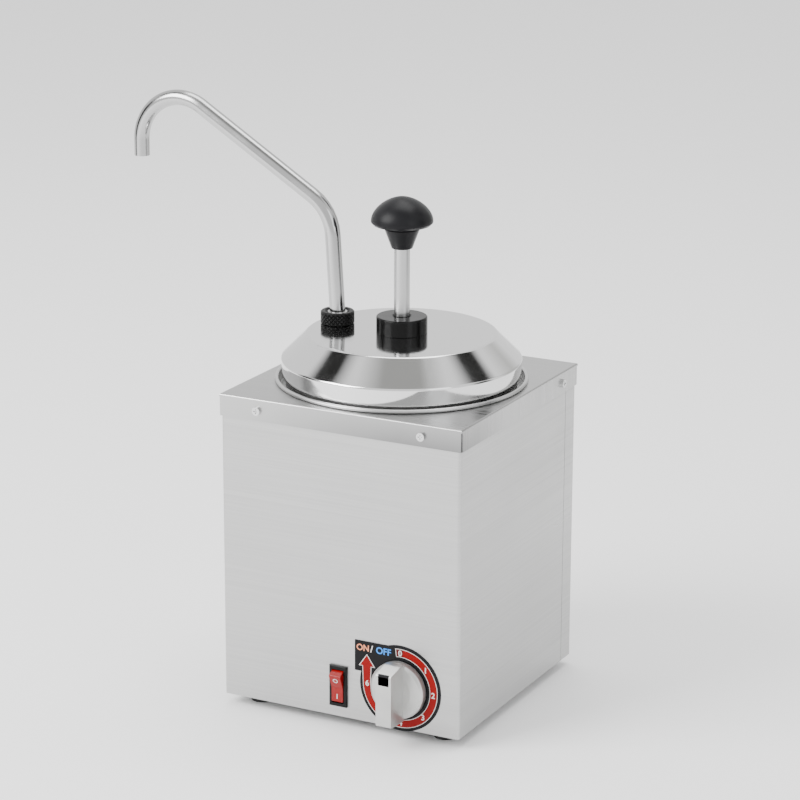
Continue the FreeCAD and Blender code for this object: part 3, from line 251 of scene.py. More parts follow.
def bevelled(piece, width, segments=4):
    """Rounds the edges sharper than 50 degrees by width mm."""
    modifier = piece.modifiers.new("edge", "BEVEL")
    modifier.width = width * MM
    modifier.segments = segments
    modifier.limit_method = "ANGLE"
    modifier.angle_limit = math.radians(50)
    return shaded(apply_modifiers(piece), math.radians(40))


# ---- materials ----


class Surface:
    """One material and the few nodes that most finishes need."""

    def __init__(self, name, colour, roughness, metallic=0.0, **extra):
        self.material = bpy.data.materials.new(name)
        self.material.use_nodes = True
        self.nodes = self.material.node_tree.nodes
        self.links = self.material.node_tree.links
        self.shader = self.nodes["Principled BSDF"]
        self.shader.inputs["Base Color"].default_value = (*colour, 1.0)
        self.shader.inputs["Roughness"].default_value = roughness
        self.shader.inputs["Metallic"].default_value = metallic
        for socket, value in extra.items():
            self.shader.inputs[socket.replace("_", " ")].default_value = value
        self.place = self.nodes.new("ShaderNodeTexCoord").outputs["Object"]

    def stretched(self, scale):
        """The place on the piece, multiplied on each axis."""
        node = self.nodes.new("ShaderNodeVectorMath")
        node.operation = "MULTIPLY"
        self.links.new(self.place, node.inputs[0])
        node.inputs[1].default_value = scale
        return node.outputs[0]

    def noise(self, scale, size, detail, rough=0.5):
        """Noise over the piece, stretched by its scale on each axis."""
        node = self.nodes.new("ShaderNodeTexNoise")
        self.links.new(self.stretched(scale), node.inputs["Vector"])
        node.inputs["Scale"].default_value = size
        node.inputs["Detail"].default_value = detail
        node.inputs["Roughness"].default_value = rough
        return node.outputs["Fac"]

    def ranged(self, value, low, high, start=0.3, end=0.7):
        """A value between start and end, carried over to between low and high."""
        node = self.nodes.new("ShaderNodeMapRange")
        self.links.new(value, node.inputs["Value"])
        for name, number in (("From Min", start), ("From Max", end), ("To Min", low), ("To Max", high)):
            node.inputs[name].default_value = number
        return node.outputs["Result"]

    def math(self, operation, first, second=0.0):
        """One sum: each side is a number or an output."""
        node = self.nodes.new("ShaderNodeMath")
        node.operation = operation
        for socket, value in zip(node.inputs, (first, second)):
            if isinstance(value, (int, float)):
                socket.default_value = value
            else:
                self.links.new(value, socket)
        return node.outputs[0]

    def mixed(self, factor, first, second):
        """A blend of two colours: each is a colour or an output."""
        node = self.nodes.new("ShaderNodeMix")
        node.data_type = "RGBA"
        self.links.new(factor, node.inputs[0])
        for socket, value in ((node.inputs[6], first), (node.inputs[7], second)):
            if isinstance(value, tuple):
                socket.default_value = (*value, 1.0)
            else:
                self.links.new(value, socket)
        return node.outputs[2]

    def colour(self, output):
        """Joins an output to the shader's colour."""
        self.links.new(output, self.shader.inputs["Base Color"])

    def roughness(self, output):
        """Joins an output to the shader's roughness."""
        self.links.new(output, self.shader.inputs["Roughness"])

    def bump(self, height, strength, distance):
        """Relief of a given depth in metres."""
        node = self.nodes.new("ShaderNodeBump")
        node.inputs["Strength"].default_value = strength
        node.inputs["Distance"].default_value = distance
        self.links.new(height, node.inputs["Height"])
        self.links.new(node.outputs["Normal"], self.shader.inputs["Normal"])

    def split(self, source=None):
        """The x, y and z of a place, by default the place on the piece."""
        node = self.nodes.new("ShaderNodeSeparateXYZ")
        self.links.new(source or self.place, node.inputs[0])
        return node.outputs

    def worn_edges(self, radius, amount):
        """How far each spot is a rubbed edge, found by comparing the true normal with a bevelled one."""
        bevel = self.nodes.new("ShaderNodeBevel")
        bevel.samples = 4
        bevel.inputs["Radius"].default_value = radius
        normal = self.nodes.new("ShaderNodeNewGeometry").outputs["Normal"]
        dot = self.nodes.new("ShaderNodeVectorMath")
        dot.operation = "DOT_PRODUCT"
        self.links.new(bevel.outputs[0], dot.inputs[0])
        self.links.new(normal, dot.inputs[1])
        return self.ranged(dot.outputs["Value"], amount, 0.0, 0.8, 0.98)


def brushed_steel(name, tone, grain, roughness=0.34, flange=1.0):
    """Satin sheet with a brushed grain: fine long streaks in roughness, tone and bump, and faint smears.

    The grain runs level, or across the deck. Below 1.0, flange paints shade on the deck's front flange: its
    colour darkens towards tone times flange, most at its lower edge and towards its right end.
    """
    surface = Surface(name, (tone, tone, tone * 0.985), roughness, 1.0)
    along, across = 5, 900
    scale = {"level": (along, along, across), "deck": (along, across, along)}[grain]
    fine = surface.noise(scale, 1.0, 4.0, 0.7)
    broad = surface.noise(tuple(value * 0.35 for value in scale), 1.0, 2.0)
    smears = surface.noise(EVEN, 14.0, 4.0, 0.6)
    darker, paler = (tone * 0.92,) * 3, (tone * 1.04, tone * 1.04, tone * 1.03)
    steel = surface.mixed(surface.ranged(fine, 0.0, 1.0), darker, paler)
    # painted shade: darkens the colour of the deck's front flange, most at its lower edge and towards its
    # right end
    if flange < 1.0:
        x, y, z = surface.split()
        deck_low, deck_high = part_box("top_cover")
        front = surface.ranged(y, 1.0, 0.0, FRONT, FRONT + 0.075)
        low = surface.ranged(z, 1.0, 0.45, deck_low[2], deck_high[2])
        right = surface.ranged(x, 0.15, 1.0, deck_low[0] + 0.02, deck_high[0] - 0.05)
        painted_shade = surface.math("MULTIPLY", surface.math("MULTIPLY", front, low), right)
        steel = surface.mixed(painted_shade, steel, (tone * flange,) * 3)
    surface.colour(steel)
    grained = surface.ranged(broad, roughness - 0.05, roughness + 0.06)
    surface.roughness(surface.math("ADD", grained, surface.ranged(smears, -0.03, 0.04)))
    surface.bump(fine, 0.10, 0.00006)
    return surface.material


def polished_steel(name, tone, roughness, spun=True):
    """Mirror-polished metal with faint spinning lines, tiny scratches and water haze."""
    surface = Surface(name, (tone, tone, tone), roughness, 1.0)
    haze = surface.noise(EVEN, 22.0, 5.0, 0.65)
    scratches = surface.noise((300, 60, 200), 4.0, 3.0, 0.8)
    hazy = surface.ranged(haze, roughness * 0.5, roughness * 1.7)
    surface.roughness(surface.math("ADD", hazy, surface.ranged(scratches, 0.0, 0.05, 0.62, 0.78)))
    if spun:
        offset = surface.nodes.new("ShaderNodeVectorMath")
        offset.operation = "SUBTRACT"
        surface.links.new(surface.place, offset.inputs[0])
        offset.inputs[1].default_value = (AXIS.x, AXIS.y, 0)
        across = surface.split(offset.outputs[0])[:2]
        squares = [surface.math("MULTIPLY", part, part) for part in across]
        radius = surface.math("SQRT", surface.math("ADD", *squares))
        lines = surface.nodes.new("ShaderNodeTexNoise")
        lines.noise_dimensions = "1D"
        surface.links.new(radius, lines.inputs["W"])
        lines.inputs["Scale"].default_value = 1400.0
        lines.inputs["Detail"].default_value = 4.0
        surface.bump(lines.outputs["Fac"], 0.10, 0.00002)
    return surface.material


def moulded_plastic(name, colour, roughness, grain=0.12, size=1400.0, **extra):
    """Moulded plastic: fine skin texture, soft blotches in gloss, rubbed edges. Black ones reflect less."""
    surface = Surface(name, colour, roughness, 0.0, **extra)
    if max(colour) < 0.03:
        surface.shader.inputs["Specular IOR Level"].default_value = 0.16
    skin = surface.noise(EVEN, size, 3.0)
    blotch = surface.noise(EVEN, 60.0, 4.0)
    surface.roughness(surface.ranged(blotch, roughness - 0.05, roughness + 0.08))
    lighter = tuple(min(1.0, value * 1.2) for value in colour)
    edge = surface.worn_edges(0.0006, 0.7)
    body = surface.mixed(surface.ranged(blotch, 0.0, 1.0), colour, lighter)
    worn = tuple(min(1.0, value * 1.4 + 0.004) for value in colour)
    surface.colour(surface.mixed(edge, body, worn))
    surface.bump(skin, grain, 0.0001)
    return surface.material


def terminal_brass(name):
    """Bright brass strip, a little tarnished in patches."""
    fresh, tarnished = (0.62, 0.43, 0.17), (0.40, 0.25, 0.10)
    surface = Surface(name, fresh, 0.28, 1.0)
    patches = surface.noise(EVEN, 240.0, 4.0, 0.6)
    surface.colour(surface.mixed(surface.ranged(patches, 0.0, 0.6), fresh, tarnished))
    surface.roughness(surface.ranged(patches, 0.22, 0.42))
    surface.bump(patches, 0.08, 0.00005)
    return surface.material


def cast_rubber(name, colour):
    """Dull rubber with a little dust on it."""
    surface = Surface(name, colour, 0.75)
    dust = surface.noise(EVEN, 350.0, 5.0, 0.7)
    dusty = tuple(value + 0.05 for value in colour)
    surface.colour(surface.mixed(surface.ranged(dust, 0.0, 1.0, 0.5, 0.8), colour, dusty))
    surface.roughness(surface.ranged(dust, 0.62, 0.85))
    surface.bump(dust, 0.3, 0.0001)
    return surface.material


def printed_ink(name, colour, roughness=0.42):
    """Screen-printed ink: a slightly uneven layer."""
    surface = Surface(name, colour, roughness)
    surface.shader.inputs["Specular IOR Level"].default_value = 0.14
    dots = surface.noise(EVEN, 900.0, 4.0, 0.7)
    paler = tuple(min(1.0, value * 1.1 + 0.001) for value in colour)
    surface.colour(surface.mixed(surface.ranged(dots, 0.0, 1.0), colour, paler))
    surface.roughness(surface.ranged(dots, roughness - 0.06, roughness + 0.1))
    surface.bump(dots, 0.08, 0.00005)
    return surface.material


def painted(piece, material):
    """Gives a new piece its one material."""
    piece.data.materials.clear()
    piece.data.materials.append(material)
    return piece


def node_finish(node, material):
    """Sets the material slots of a CAD node."""
    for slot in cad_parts[node].material_slots:
        slot.material = material


def make_piece(piece, body, slot, material, *replaced):
    """Gives a piece its material, parents it to the body it rides and hides the CAD nodes it stands for.
    slot is not used.
    """
    painted(piece, material)
    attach(piece, body)
    if replaced:
        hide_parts(*replaced)
    return piece


# ---- finishes ----

BRUSHED = brushed_steel("brushed_level", 0.50, "level")
# the deck's steel carries painted shade on its front flange, set by the last argument
BRUSHED_DECK_SHADED = brushed_steel("brushed_deck_shaded", 0.49, "deck", 0.30, 0.46)
TANK = brushed_steel("spun_tank", 0.55, "level", 0.28)
MIRROR = polished_steel("mirror_lid", 0.74, 0.085)
TUBE = polished_steel("polished_tube", 0.44, 0.17, False)
SCREW = polished_steel("bright_screw", 0.62, 0.20, False)
KNOB_BLACK = moulded_plastic("satin_black_knob", (0.006, 0.006, 0.007), 0.34)
COLLAR_BLACK = moulded_plastic("gloss_black_collar", (0.004, 0.004, 0.004), 0.16, 0.05)
NUT_BLACK = moulded_plastic("black_knurled_nut", (0.005, 0.005, 0.005), 0.34, 0.10)
BEZEL_BLACK = moulded_plastic("black_bezel", (0.005, 0.005, 0.005), 0.30)
SILVER = moulded_plastic("silver_knob", (0.46, 0.46, 0.45), 0.36, 0.10, 1800.0, Metallic=0.85)
PALE = moulded_plastic("pump_plastic", (0.80, 0.79, 0.75), 0.40)
BRASS = terminal_brass("terminal_brass")
RUBBER = cast_rubber("foot_rubber", (0.015, 0.015, 0.015))
SEAL = cast_rubber("seal_rubber", (0.50, 0.47, 0.43))
LABEL = printed_ink("label_black", (0.005, 0.005, 0.006), 0.42)
INK_WHITE = printed_ink("ink_white", (0.62, 0.60, 0.58))
INK_RED = printed_ink("ink_red", (0.20, 0.0012, 0.0012))
INK_DARK = printed_ink("ink_dark_red", (0.085, 0.008, 0.008))
INK_PEACH = printed_ink("ink_peach", (0.72, 0.27, 0.15))
INK_BLUE = printed_ink("ink_blue", (0.04, 0.24, 0.70))
INLAY = moulded_plastic("black_inlay", (0.008, 0.008, 0.009), 0.22, 0.04)
ROCKER_RED = moulded_plastic(
    "red_rocker", (0.22, 0.001, 0.001), 0.16, 0.03, 900.0,
    Specular_IOR_Level=0.30, Coat_Weight=0.12, Coat_Roughness=0.06,
)


# ---- pieces ----


def make_lid():
    """Spun lid, mirror polished, with its sheet's thickness: a flat top, a cone and a short skirt."""
    sheet, flat, shoulder, hem = 1.0, 68.3, 86.9, 86.0
    shoulder_height, hem_height = 243.8, 231.6
    collar_hole, riser_hole = 13.3, 6.05
    outer = [
        (collar_hole, LID_TOP), (flat, LID_TOP, 3.0), (shoulder, shoulder_height, 2.4), (hem, hem_height),
    ]
    inner = [
        (hem - sheet, hem_height), (shoulder - 1.05, shoulder_height - 0.4, 1.4),
        (flat - 0.4, LID_TOP - sheet, 2.0), (collar_hole, LID_TOP - sheet),
    ]
    lid = lathe("lid_spun", rounded(outer + inner), AXIS, 256)
    cutter = [(0, 255), (riser_hole, 255), (riser_hole, 268), (0, 268)]
    hole = lathe("riser_hole", cutter, SPOUT_AXIS, 64, False)
    modifier = lid.modifiers.new("riser", "BOOLEAN")
    modifier.operation = "DIFFERENCE"
    modifier.solver = "EXACT"
    modifier.object = hole
    apply_modifiers(lid)
    bpy.data.objects.remove(hole)
    shaded(lid)
    make_piece(lid, "lid_pump", "polished_steel", MIRROR, "lid")


def vessel(name, floor, wall, corner, ledge, rim, rim_corner, bead):
    """A spun vessel: floor, wall, a ledge outward and a rim above it that ends in a rolled bead.

    bead is the height where the rim meets it, its middle, and the angles where it starts and ends.
    """
    sheet, bead_radius = 0.8, 1.5
    meets, middle, start, end = bead
    profile = rounded([
        (0, floor), (wall, floor, corner), (wall, ledge, 0.9), (rim, ledge, rim_corner), (rim, meets),
        *round_arc(middle, bead_radius, start, end, 18),
        (rim - sheet, ledge + sheet, 0.6), (wall - sheet, ledge + sheet, 1.2),
        (wall - sheet, floor + sheet, corner - sheet), (0, floor + sheet),
    ])
    return lathe(name, profile, AXIS, 192, False)


def make_tank_and_pot():
    """Water bath with the stud under it that holds the heater's clamp, and the lift-out pot."""
    tank_floor, stud = 62, 3
    bath = vessel("bath_tank_spun", floor=tank_floor, wall=80, corner=6, ledge=220.8, rim=89.3,
                  rim_corner=1.4, bead=(227.7, (89.95, 229.1), -115, 180))
    make_piece(bath, "housing", "tank_steel", TANK, "bath_tank")
    shank = rounded([(0, 48), (stud, 48, 0.4), (stud, tank_floor), (0, tank_floor)])
    make_piece(lathe("tank_stud", shank, AXIS, 32, False), "housing", "tank_steel", TANK)
    pot = vessel("food_pot_spun", floor=72, wall=75.5, corner=4, ledge=221.7, rim=83.6,
                 rim_corner=1.2, bead=(243.4, (82.6, 243.9), -30, 235))
    make_piece(pot, "pot", "tank_steel", TANK, "food_pot")


def make_plunger():
    """Mushroom knob with a flattened dome, and the bright rod under it."""
    neck, brim, dome_low, dome_rise, flatness, steps = 324.0, 22.3, 344.2, 17.3, 1.75, 36
    spigot, rod, rod_low, shoulder, spigot_top = 4.0, 5.75, 155, 174, 340
    knob = [
        (spigot, neck), (7.5, neck, 0.6), (12.7, 338.0, 0.4), (12.2, 338.7), (12.4, 339.3),
        (20.4, 341.0, 0.8), (brim, 343.0, 0.9),
    ]
    for step in range(steps + 1):
        rise = math.sin(math.pi / 2 * step / steps)
        knob.append((brim * max(0.0, 1 - rise**flatness) ** (1 / flatness), dome_low + dome_rise * rise))
    outline = [(0.0, 341.0), (spigot, 341.0), *rounded(knob, False)]
    dome = lathe("plunger_knob_dome", outline, AXIS, 128, False)
    make_piece(dome, "plunger", "black_knob", KNOB_BLACK, "plunger_knob")
    shaft = rounded([
        (0, rod_low), (spigot, rod_low, 0.5), (spigot, shoulder), (rod, shoulder, 0.4), (rod, neck),
        (spigot, neck), (spigot, spigot_top), (0, spigot_top),
    ])
    bright = lathe("plunger_rod_bright", shaft, AXIS, 64, False)
    make_piece(bright, "plunger", "polished_steel", TUBE, "plunger_rod")


def make_collar():
    """Guide collar of the pump, which stands on the lid round the plunger's rod."""
    bore, seat, outer, top = 5.8, 13.05, 18.5, 274.2
    profile = rounded([
        (bore, 270.2), (seat, 270.2), (seat, LID_TOP), (outer, LID_TOP, 0.5), (outer, top, 1.1),
        (7.2, top, 0.5), (bore, 273.0, 0.3),
    ])
    collar = lathe("pump_collar_turned", profile, AXIS, 128)
    make_piece(collar, "lid_pump", "black_collar", COLLAR_BLACK, "pump_collar")


def make_union_nut():
    """Nut with a diamond knurl: crossing spiral grooves round its band, faded out at both ends."""
    low, high, outer = 262.4, 271.7, 12.3
    grooves, pitch, deep, narrow = 24, 3.1, 0.80, 2.6
    around, rows = 288, 44
    band = []
    for row in range(rows + 1):
        z = low + 0.7 + (high - low - 1.5) * row / rows
        fade = min(1.0, row / 2, (rows - row) / 2)
        climb = (z - low) / pitch
        ring = []
        for step in range(around):
            turns = grooves * step / around
            ridge = abs((turns + climb) % 1.0 - 0.5) * 2
            other = abs((turns - climb) % 1.0 - 0.5) * 2
            groove = max(0.0, 1.0 - min(ridge, other) * narrow)
            ring.append((outer - deep * groove * fade, z))
        band.append(ring)
    top = [(9.4, high), (11.5, high), (11.85, high - 0.3)]
    bottom = [
        (11.9, low + 0.4), (11.5, low), (9.1, low), (9.1, high - 1.9), (7.8, high - 1.9), (7.8, high - 1.3),
    ]
    loops = [[point] * around for point in top] + band[::-1] + [[point] * around for point in bottom]
    work = bmesh.new()
    ring_faces(work, [turned_ring(work, SPOUT_AXIS, loop) for loop in loops], True)
    nut = shaded(from_bmesh("union_nut_knurled", work), math.radians(28))
    make_piece(nut, "lid_pump", "black_collar", NUT_BLACK, "union_nut")


def spout_path():
    """The spout's centre line as (out, height) in mm: leg, arm and hook."""
    corner, bend = Vector((4.8, 345.0)), 34.5
    rise = math.radians(31.5)
    hook, reach, tip = 34.0, 164.1, 370.0
    centre_out = reach - hook
    arm_height = corner.y + (centre_out - corner.x) * math.tan(rise)
    centre = Vector((centre_out, arm_height - hook / math.cos(rise)))
    enter = centre + Vector((-math.sin(rise), math.cos(rise))) * hook
    leg = [(0.0, SPOUT_FOOT), (0.0, FERRULE_TOP, 60.0), (corner.x, corner.y, bend), tuple(enter)]
    points = rounded(leg, False)
    turns = 48
    for step in range(1, turns + 1):
        angle = math.pi / 2 + rise - (math.pi / 2 + rise) * step / turns
        points.append(centre + Vector((math.cos(angle), math.sin(angle))) * hook)
    points.append(Vector((reach, tip)))
    return points


def swept_wall(work, path, radius, around):
    """The rings of a tube's wall along its path, joined by faces. Both ends are cut level."""
    rings = []
    for index, point in enumerate(path):
        if index == 0:
            along = Vector((0, 1))
        elif index == len(path) - 1:
            along = Vector((0, -1))
        else:
            along = (path[index + 1] - path[index - 1]).normalized()
        side = Vector((along.y, -along.x))
        ring = []
        for step in range(around):
            angle = 2 * math.pi * step / around
            out = point + side * radius * math.cos(angle)
            y = SPOUT_AXIS.y + radius * MM * math.sin(angle)
            ring.append(work.verts.new((SPOUT_AXIS.x - out.x * MM, y, (out.y + LIFT) * MM)))
        rings.append(ring)
    ring_faces(work, rings)
    return rings


def make_spout():
    """Bent tube with its open end, swept along the centre line, and the ferrule at its foot."""
    around, outer, bore, closest = 48, 5.75, 4.75, 0.4
    path = []
    for point in spout_path():
        if not path or (Vector(point) - path[-1]).length > closest:
            path.append(Vector(point))
    work = bmesh.new()
    outside = swept_wall(work, path, outer, around)
    inside = swept_wall(work, path, bore, around)
    for end in (0, -1):
        ring_faces(work, [outside[end], inside[end]])
    spout = shaded(from_bmesh("spout_bent_tube", work), math.radians(40))
    make_piece(spout, "spout", "polished_steel", TUBE, "spout_tube")
    fit, flange, neck, step = 5.78, 8.6, 7.3, 269.7
    ferrule = rounded([
        (fit, SPOUT_FOOT), (flange, SPOUT_FOOT, 0.3), (flange, step, 0.3), (neck, step),
        (neck, FERRULE_TOP, 0.5), (fit, FERRULE_TOP),
    ])
    ring = lathe("spout_ferrule_ring", ferrule, SPOUT_AXIS, 96)
    make_piece(ring, "spout", "polished_steel", TUBE, "spout_ferrule")


def arc_points(radius, start, end, steps=64):
    """Points on a circle about the dial, angles clockwise from the top in degrees."""
    points = []
    for step in range(steps + 1):
        angle = math.radians(start + (end - start) * step / steps)
        points.append((radius * math.sin(angle), radius * math.cos(angle)))
    return points


def band_outline(inner, outer, start, stem, arrow):
    """The setting band: an arc that ends in a straight stem with an arrow head, in mm about the dial."""
    left, right = stem
    low, tip, half = arrow
    stem_at, steps = 270, 120
    points = arc_points(outer, start, stem_at, steps)
    points += [(left, low), (left - half, low), ((left + right) / 2, tip), (right + half, low), (right, low)]
    points += arc_points(inner, stem_at, start, steps)
    return points


def make_dial():
    """Label with its printed band, numbers and words, each a thin layer of ink."""
    label, spindle_hole, tab_left, tab_low, tab_high = 32.0, 5.0, -36.2, 7.5, 30.4
    disc_from = math.degrees(math.asin(-10.0 / label))
    disc_to = 360 - math.degrees(math.acos(tab_low / label))
    outline = [(tab_left, tab_low), (tab_left, tab_high)] + arc_points(label, disc_from, disc_to, 160)
    hole = arc_points(spindle_hole, 0, 354, 40)
    plate = on_front(slab("dial_label", outline, 0.5, [hole]), DIAL.x, DIAL.z, 0.5)
    make_piece(plate, "housing", "dial_label", LABEL, "dial_plate")
    inner, outer, start = 23.9, 29.25, -6.6
    border = band_outline(inner - 0.4, outer + 0.4, start - 1.0, (-30.1, -22.9), (11.7, 21.0, 2.9))
    red = band_outline(inner, outer, start, (-29.7, -23.3), (12.1, 20.3, 2.3))
    dark = arc_points(outer, start, 4.5, 12) + arc_points(inner, 4.5, start, 12)
    layers = (
        ("band_outline", border, INK_WHITE, 0.54),
        ("band_red", red, INK_RED, 0.58),
        ("band_start", dark, INK_DARK, 0.60),
    )
    for name, points, ink, out in layers:
        make_piece(on_front(slab(name, points, 0.05), DIAL.x, DIAL.z, out), "housing", "dial_label", ink)
    numbers_at = 26.2 * MM
    for number, angle in enumerate((0, 50, 92, 136, 179, 223, 268)):
        turn = math.radians(angle)
        x = DIAL.x + numbers_at * math.sin(turn)
        z = DIAL.z + numbers_at * math.cos(turn)
        digit = letters(f"dial_number_{number}", str(number), 4.3, x, z, 0.64)
        make_piece(digit, "housing", "dial_label", INK_WHITE)
    words_at = DIAL.z + 25.2 * MM
    words = (("on", "ON", -29.7, 4.7, INK_PEACH), ("slash", "/", -22.7, 5.2, INK_WHITE),
             ("off", "OFF", -13.2, 5.0, INK_BLUE))
    for word, text, out, height, ink in words:
        piece = letters(f"dial_word_{word}", text, height, DIAL.x + out * MM, words_at, 0.55)
        make_piece(piece, "housing", "dial_label", ink)


def make_thermostat_knob():
    """Skirted knob: dished disc, a grip bar whose top slopes back, and the pointer's inlay."""
    back, disc, bore = 1.1, 20.9, 6
    grip_width, grip_front = 12.0, 26.0
    skirt = rounded([
        (bore, back), (disc, back, 0.3), (disc, back + 5.0, 1.3), (disc - 2.0, back + 6.6, 0.8),
        (12.0, back + 7.2), (0, back + 7.2), (0, back + 5.0), (bore, back + 5.0),
    ])
    dished = lathe("knob_disc", skirt, Vector((0, 0, 0)), 128)
    dished.data.transform(Matrix.Translation((0, 0, -LIFT * MM)))
    on_front(dished, DIAL.x, DIAL.z, 0.0)
    side = rounded([
        (-21.3, 6.5), (-21.3, 13.0, 2.0), (-20.4, grip_front, 1.6), (18.3, grip_front, 1.4),
        (21.0, 12.0, 2.5), (21.3, 6.5),
    ])
    bar = side_on(slab("knob_bar", side, grip_width), grip_width, DIAL)
    bevelled(bar, 0.8)
    make_piece(bar, "thermostat_dial", "silver_plastic", SILVER)
    make_piece(dished, "thermostat_dial", "silver_plastic", SILVER, "thermostat_knob")
    inlay = slab("knob_pointer_inlay", oblong(4.2, 4.2, 0.5), 0.8)
    on_front(inlay, DIAL.x, DIAL.z + 14.9 * MM, grip_front)
    make_piece(bevelled(inlay, 0.15, 2), "thermostat_dial", "black_inlay", INLAY, "knob_pointer")


def make_switch():
    """Rocker with its two marks, its lower end pressed in."""
    width, half, end_out, dip = 9.0, 12.25, 5.4, 3.2
    pressed, face_slope = math.radians(12), math.radians(11.5)
    side = rounded([
        (6, -4), (half, -1, 0.3), (10.9, end_out, 0.9), (0, dip, 3.0), (-10.9, end_out, 0.9),
        (-half, -1, 0.3), (-6, -4),
    ])
    rocker = side_on(slab("rocker_cap", side, width), width, Vector((0, 0, 0)))
    pivot = Matrix.Translation((SWITCH.x, FRONT + 0.4 * MM, SWITCH.z))
    place = pivot @ Matrix.Rotation(pressed, 4, "X")
    rocker.data.transform(place)
    bevelled(rocker, 0.45)
    make_piece(rocker, "rocker_arm", "red_rocker", ROCKER_RED, "rocker")
    mark_depth = 0.12
    ring = slab("rocker_mark_off", arc_points(1.9, 0, 354, 40), mark_depth, [arc_points(1.35, 0, 354, 40)])
    bar = slab("rocker_mark_on", oblong(0.3, 1.9), mark_depth)
    for mark, height, sign in ((ring, 6.4, 1), (bar, -6.6, -1)):
        out = dip + abs(height) * math.tan(face_slope) + 0.1
        lean = Matrix.Rotation(math.radians(90) + sign * face_slope, 4, "X")
        stand = Matrix.Translation((0, -out * MM, height * MM)) @ lean
        mark.data.transform(place @ stand)
        make_piece(mark, "rocker_arm", "red_rocker", INK_WHITE)


def make_return_spring():
    """Compression spring round the plunger. The real one closes up as the plunger goes down; this coil is
    drawn at one length.
    """
    low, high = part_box("return_spring")
    wire, coil, turns = 0.9 * MM, 10.6 * MM, 8
    steps, around = turns * 48, 12
    work = bmesh.new()
    rings = []
    for step in range(steps + 1):
        angle = 2 * math.pi * turns * step / steps
        z = low[2] + wire + (high[2] - low[2] - 2 * wire) * step / steps
        ring = []
        for part in range(around):
            turn = 2 * math.pi * part / around
            reach = coil + wire * math.cos(turn)
            x = AXIS.x + reach * math.cos(angle)
            y = AXIS.y + reach * math.sin(angle)
            ring.append(work.verts.new((x, y, z + wire * math.sin(turn))))
        rings.append(ring)
    ring_faces(work, rings)
    work.faces.new(rings[0])
    work.faces.new(rings[-1])
    spring = shaded(from_bmesh("return_spring_coil", work), math.radians(50))
    make_piece(spring, "lid_pump", "screw_steel", SCREW, "return_spring")
    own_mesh(spring)


NODE_FINISHES = {
    "housing_wrap": BRUSHED, "rear_panel": BRUSHED, "top_cover": BRUSHED_DECK_SHADED, "base_plate": BRUSHED_DECK_SHADED,
    "heater_clamp": BRUSHED, "discharge_riser": TUBE, "heating_element": SCREW, "thermostat_bulb": SCREW,
    "switch_housing": BEZEL_BLACK, "cord_gland": BEZEL_BLACK, "gland_locknut": BEZEL_BLACK,
    "thermostat_body": BEZEL_BLACK, "terminal_block": BEZEL_BLACK, "thermal_cutout": PALE,
    "pump_barrel": PALE, "valve_body": PALE, "piston": PALE, "lid_gasket": SEAL, "union_seal": SEAL,
    "piston_seal": SEAL, "switch_terminals": BRASS,
}
for name in ("front_left", "front_right", "rear_left", "rear_right"):
    NODE_FINISHES["foot_" + name] = RUBBER
WIRE = moulded_plastic("wire_sheath", (0.55, 0.55, 0.53), 0.4)
EARTH_WIRE = moulded_plastic("earth_sheath", (0.16, 0.40, 0.09), 0.4)


def finish_of(node):
    """The material of a CAD node."""
    if node == "earth_wire":
        return EARTH_WIRE
    if node.endswith("_wire"):
        return WIRE
    return NODE_FINISHES.get(node, SCREW)


make_lid()
make_tank_and_pot()
make_plunger()
make_collar()
make_union_nut()
make_spout()
make_dial()
make_thermostat_knob()
make_switch()
make_return_spring()
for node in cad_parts:
    node_finish(node, finish_of(node))


# ---- studio ----


def make_floor():
    """Pale seamless floor."""
    bpy.ops.mesh.primitive_plane_add(size=14, location=(0, 0, 0))
    floor = bpy.context.object
    floor.name = "floor"
    surface = Surface("floor_paper", (0.93, 0.93, 0.93), 0.7)
    surface.bump(surface.noise(EVEN, 260.0, 4.0), 0.04, 0.0002)
    painted(floor, surface.material)


def add_light(name, place, target, size, power, colour=(1, 1, 1)):
    """A soft rectangular lamp of a given power in watts, turned to its target."""
    data = bpy.data.lights.new(name, "AREA")
    data.shape = "RECTANGLE"
    data.size, data.size_y = size
    data.energy = power
    data.color = colour
    lamp = linked(name, data)
    lamp.location = place
    lamp.rotation_euler = (Vector(target) - Vector(place)).to_track_quat("-Z", "Y").to_euler()


def add_card(name, place, target, size, shade):
    """A soft-edged card that only shows in reflections: it isn't seen directly and casts no shadow."""
    soft_edge = 0.30
    bpy.ops.mesh.primitive_plane_add(size=1, location=place)
    card = bpy.context.object
    card.name = name
    card.scale = (size[0], size[1], 1)
    card.rotation_euler = (Vector(target) - Vector(place)).to_track_quat("Z", "Y").to_euler()
    surface = Surface(name, (shade, shade, shade), 1.0)
    generated = surface.place.node.outputs["Generated"]
    inside = []
    for part in surface.split(generated)[:2]:
        from_middle = surface.math("ABSOLUTE", surface.math("SUBTRACT", part, 0.5))
        inside.append(surface.math("SUBTRACT", 0.5, from_middle))
    edge = surface.ranged(surface.math("MINIMUM", *inside), 0.0, 1.0, 0.0, soft_edge)
    glow = surface.nodes.new("ShaderNodeEmission")
    glow.inputs["Color"].default_value = (shade, shade, shade * 0.97, 1)
    clear = surface.nodes.new("ShaderNodeBsdfTransparent")
    mix = surface.nodes.new("ShaderNodeMixShader")
    for output, socket in ((edge, 0), (clear.outputs[0], 1), (glow.outputs[0], 2)):
        surface.links.new(output, mix.inputs[socket])
    surface.links.new(mix.outputs[0], surface.nodes["Material Output"].inputs["Surface"])
    surface.nodes.remove(surface.shader)
    painted(card, surface.material)
    card.visible_camera = False
    card.visible_diffuse = False
    card.visible_shadow = False
    card.visible_transmission = False


VIEW_TURN = math.radians(27.41)  # how far round from the front the camera stands


def around(turn, rise, reach, centre):
    """A place reach metres from a point over the housing: degrees right of the camera's side, and up."""
    angle, height = VIEW_TURN + math.radians(turn), math.radians(rise)
    level = math.cos(height) * reach
    return centre + Vector((math.sin(angle) * level, -math.cos(angle) * level, math.sin(height) * reach))


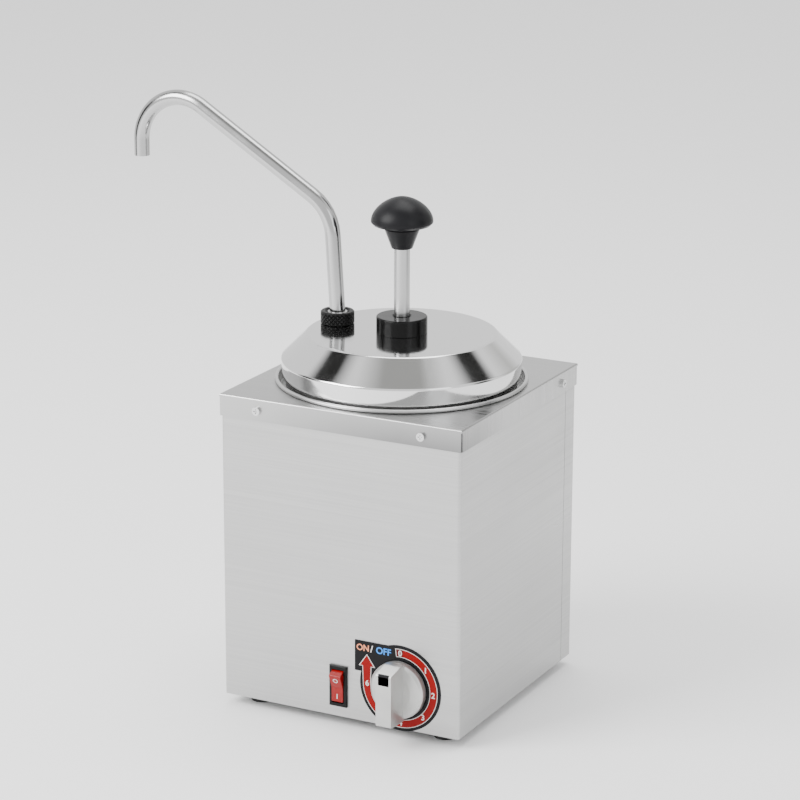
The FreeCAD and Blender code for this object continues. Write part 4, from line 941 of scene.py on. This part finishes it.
def make_studio():
    """White surroundings, three soft lamps, and the cards that the polished lid and tube mirror."""
    world = bpy.data.worlds.new("studio")
    bpy.context.scene.world = world
    world.use_nodes = True
    background = world.node_tree.nodes["Background"]
    background.inputs["Color"].default_value = (1.0, 1.0, 1.0, 1.0)
    background.inputs["Strength"].default_value = 1.35
    lid = AXIS + Vector((0, 0, 0.25))
    above = AXIS + Vector((0, 0, 0.45))
    add_light("key", (-1.3, -1.6, 1.7), lid, (1.5, 1.5), 92.0)
    add_light("fill", (1.9, -0.9, 1.0), lid, (0.8, 1.4), 5.0, (0.96, 0.98, 1.0))
    add_light("top", (0.1, 0.5, 2.2), lid, (1.6, 1.2), 26.0)
    for name, turn, rise, reach, target, size, shade in (
        ("card_cone_left", -103, 49, 1.5, lid, (0.66, 1.1), 0.03),
        ("card_cone_right", 103, 49, 1.5, lid, (0.62, 1.1), 0.03),
        ("card_overhead", 0, 71, 1.5, lid, (1.6, 1.0), 0.50),
        ("card_low_left", -96, 0, 1.05, above, (0.60, 1.0), 0.05),
        ("card_low_right", 80, 0, 1.05, above, (0.50, 1.0), 0.04),
        ("card_right_rear", 125, 0, 1.05, above, (0.80, 1.0), 0.80),
    ):
        add_card(name, around(turn, rise, reach, target), target, size, shade)


def make_camera():
    """Looks down a little on the corner between the front and the right side."""
    elevation, roll = math.radians(16.52), math.radians(0.18)
    distance = 2.150
    aim = AXIS + Vector((6.3, -14.6, 223.7)) * MM
    level = math.cos(elevation)
    back = Vector((math.sin(VIEW_TURN) * level, -math.cos(VIEW_TURN) * level, math.sin(elevation)))
    right = Vector((math.cos(VIEW_TURN), math.sin(VIEW_TURN), 0.0))
    up = back.cross(right)
    rolled_right = right * math.cos(roll) + up * math.sin(roll)
    rolled_up = up * math.cos(roll) - right * math.sin(roll)
    data = bpy.data.cameras.new("camera")
    data.lens = 134.9
    data.sensor_width = 36.0
    data.clip_start = 0.05
    camera = linked("camera", data)
    turn = Matrix((rolled_right, rolled_up, back)).transposed().to_4x4()
    camera.matrix_world = Matrix.Translation(aim + back * distance) @ turn
    bpy.context.scene.camera = camera


make_floor()
make_studio()
make_camera()
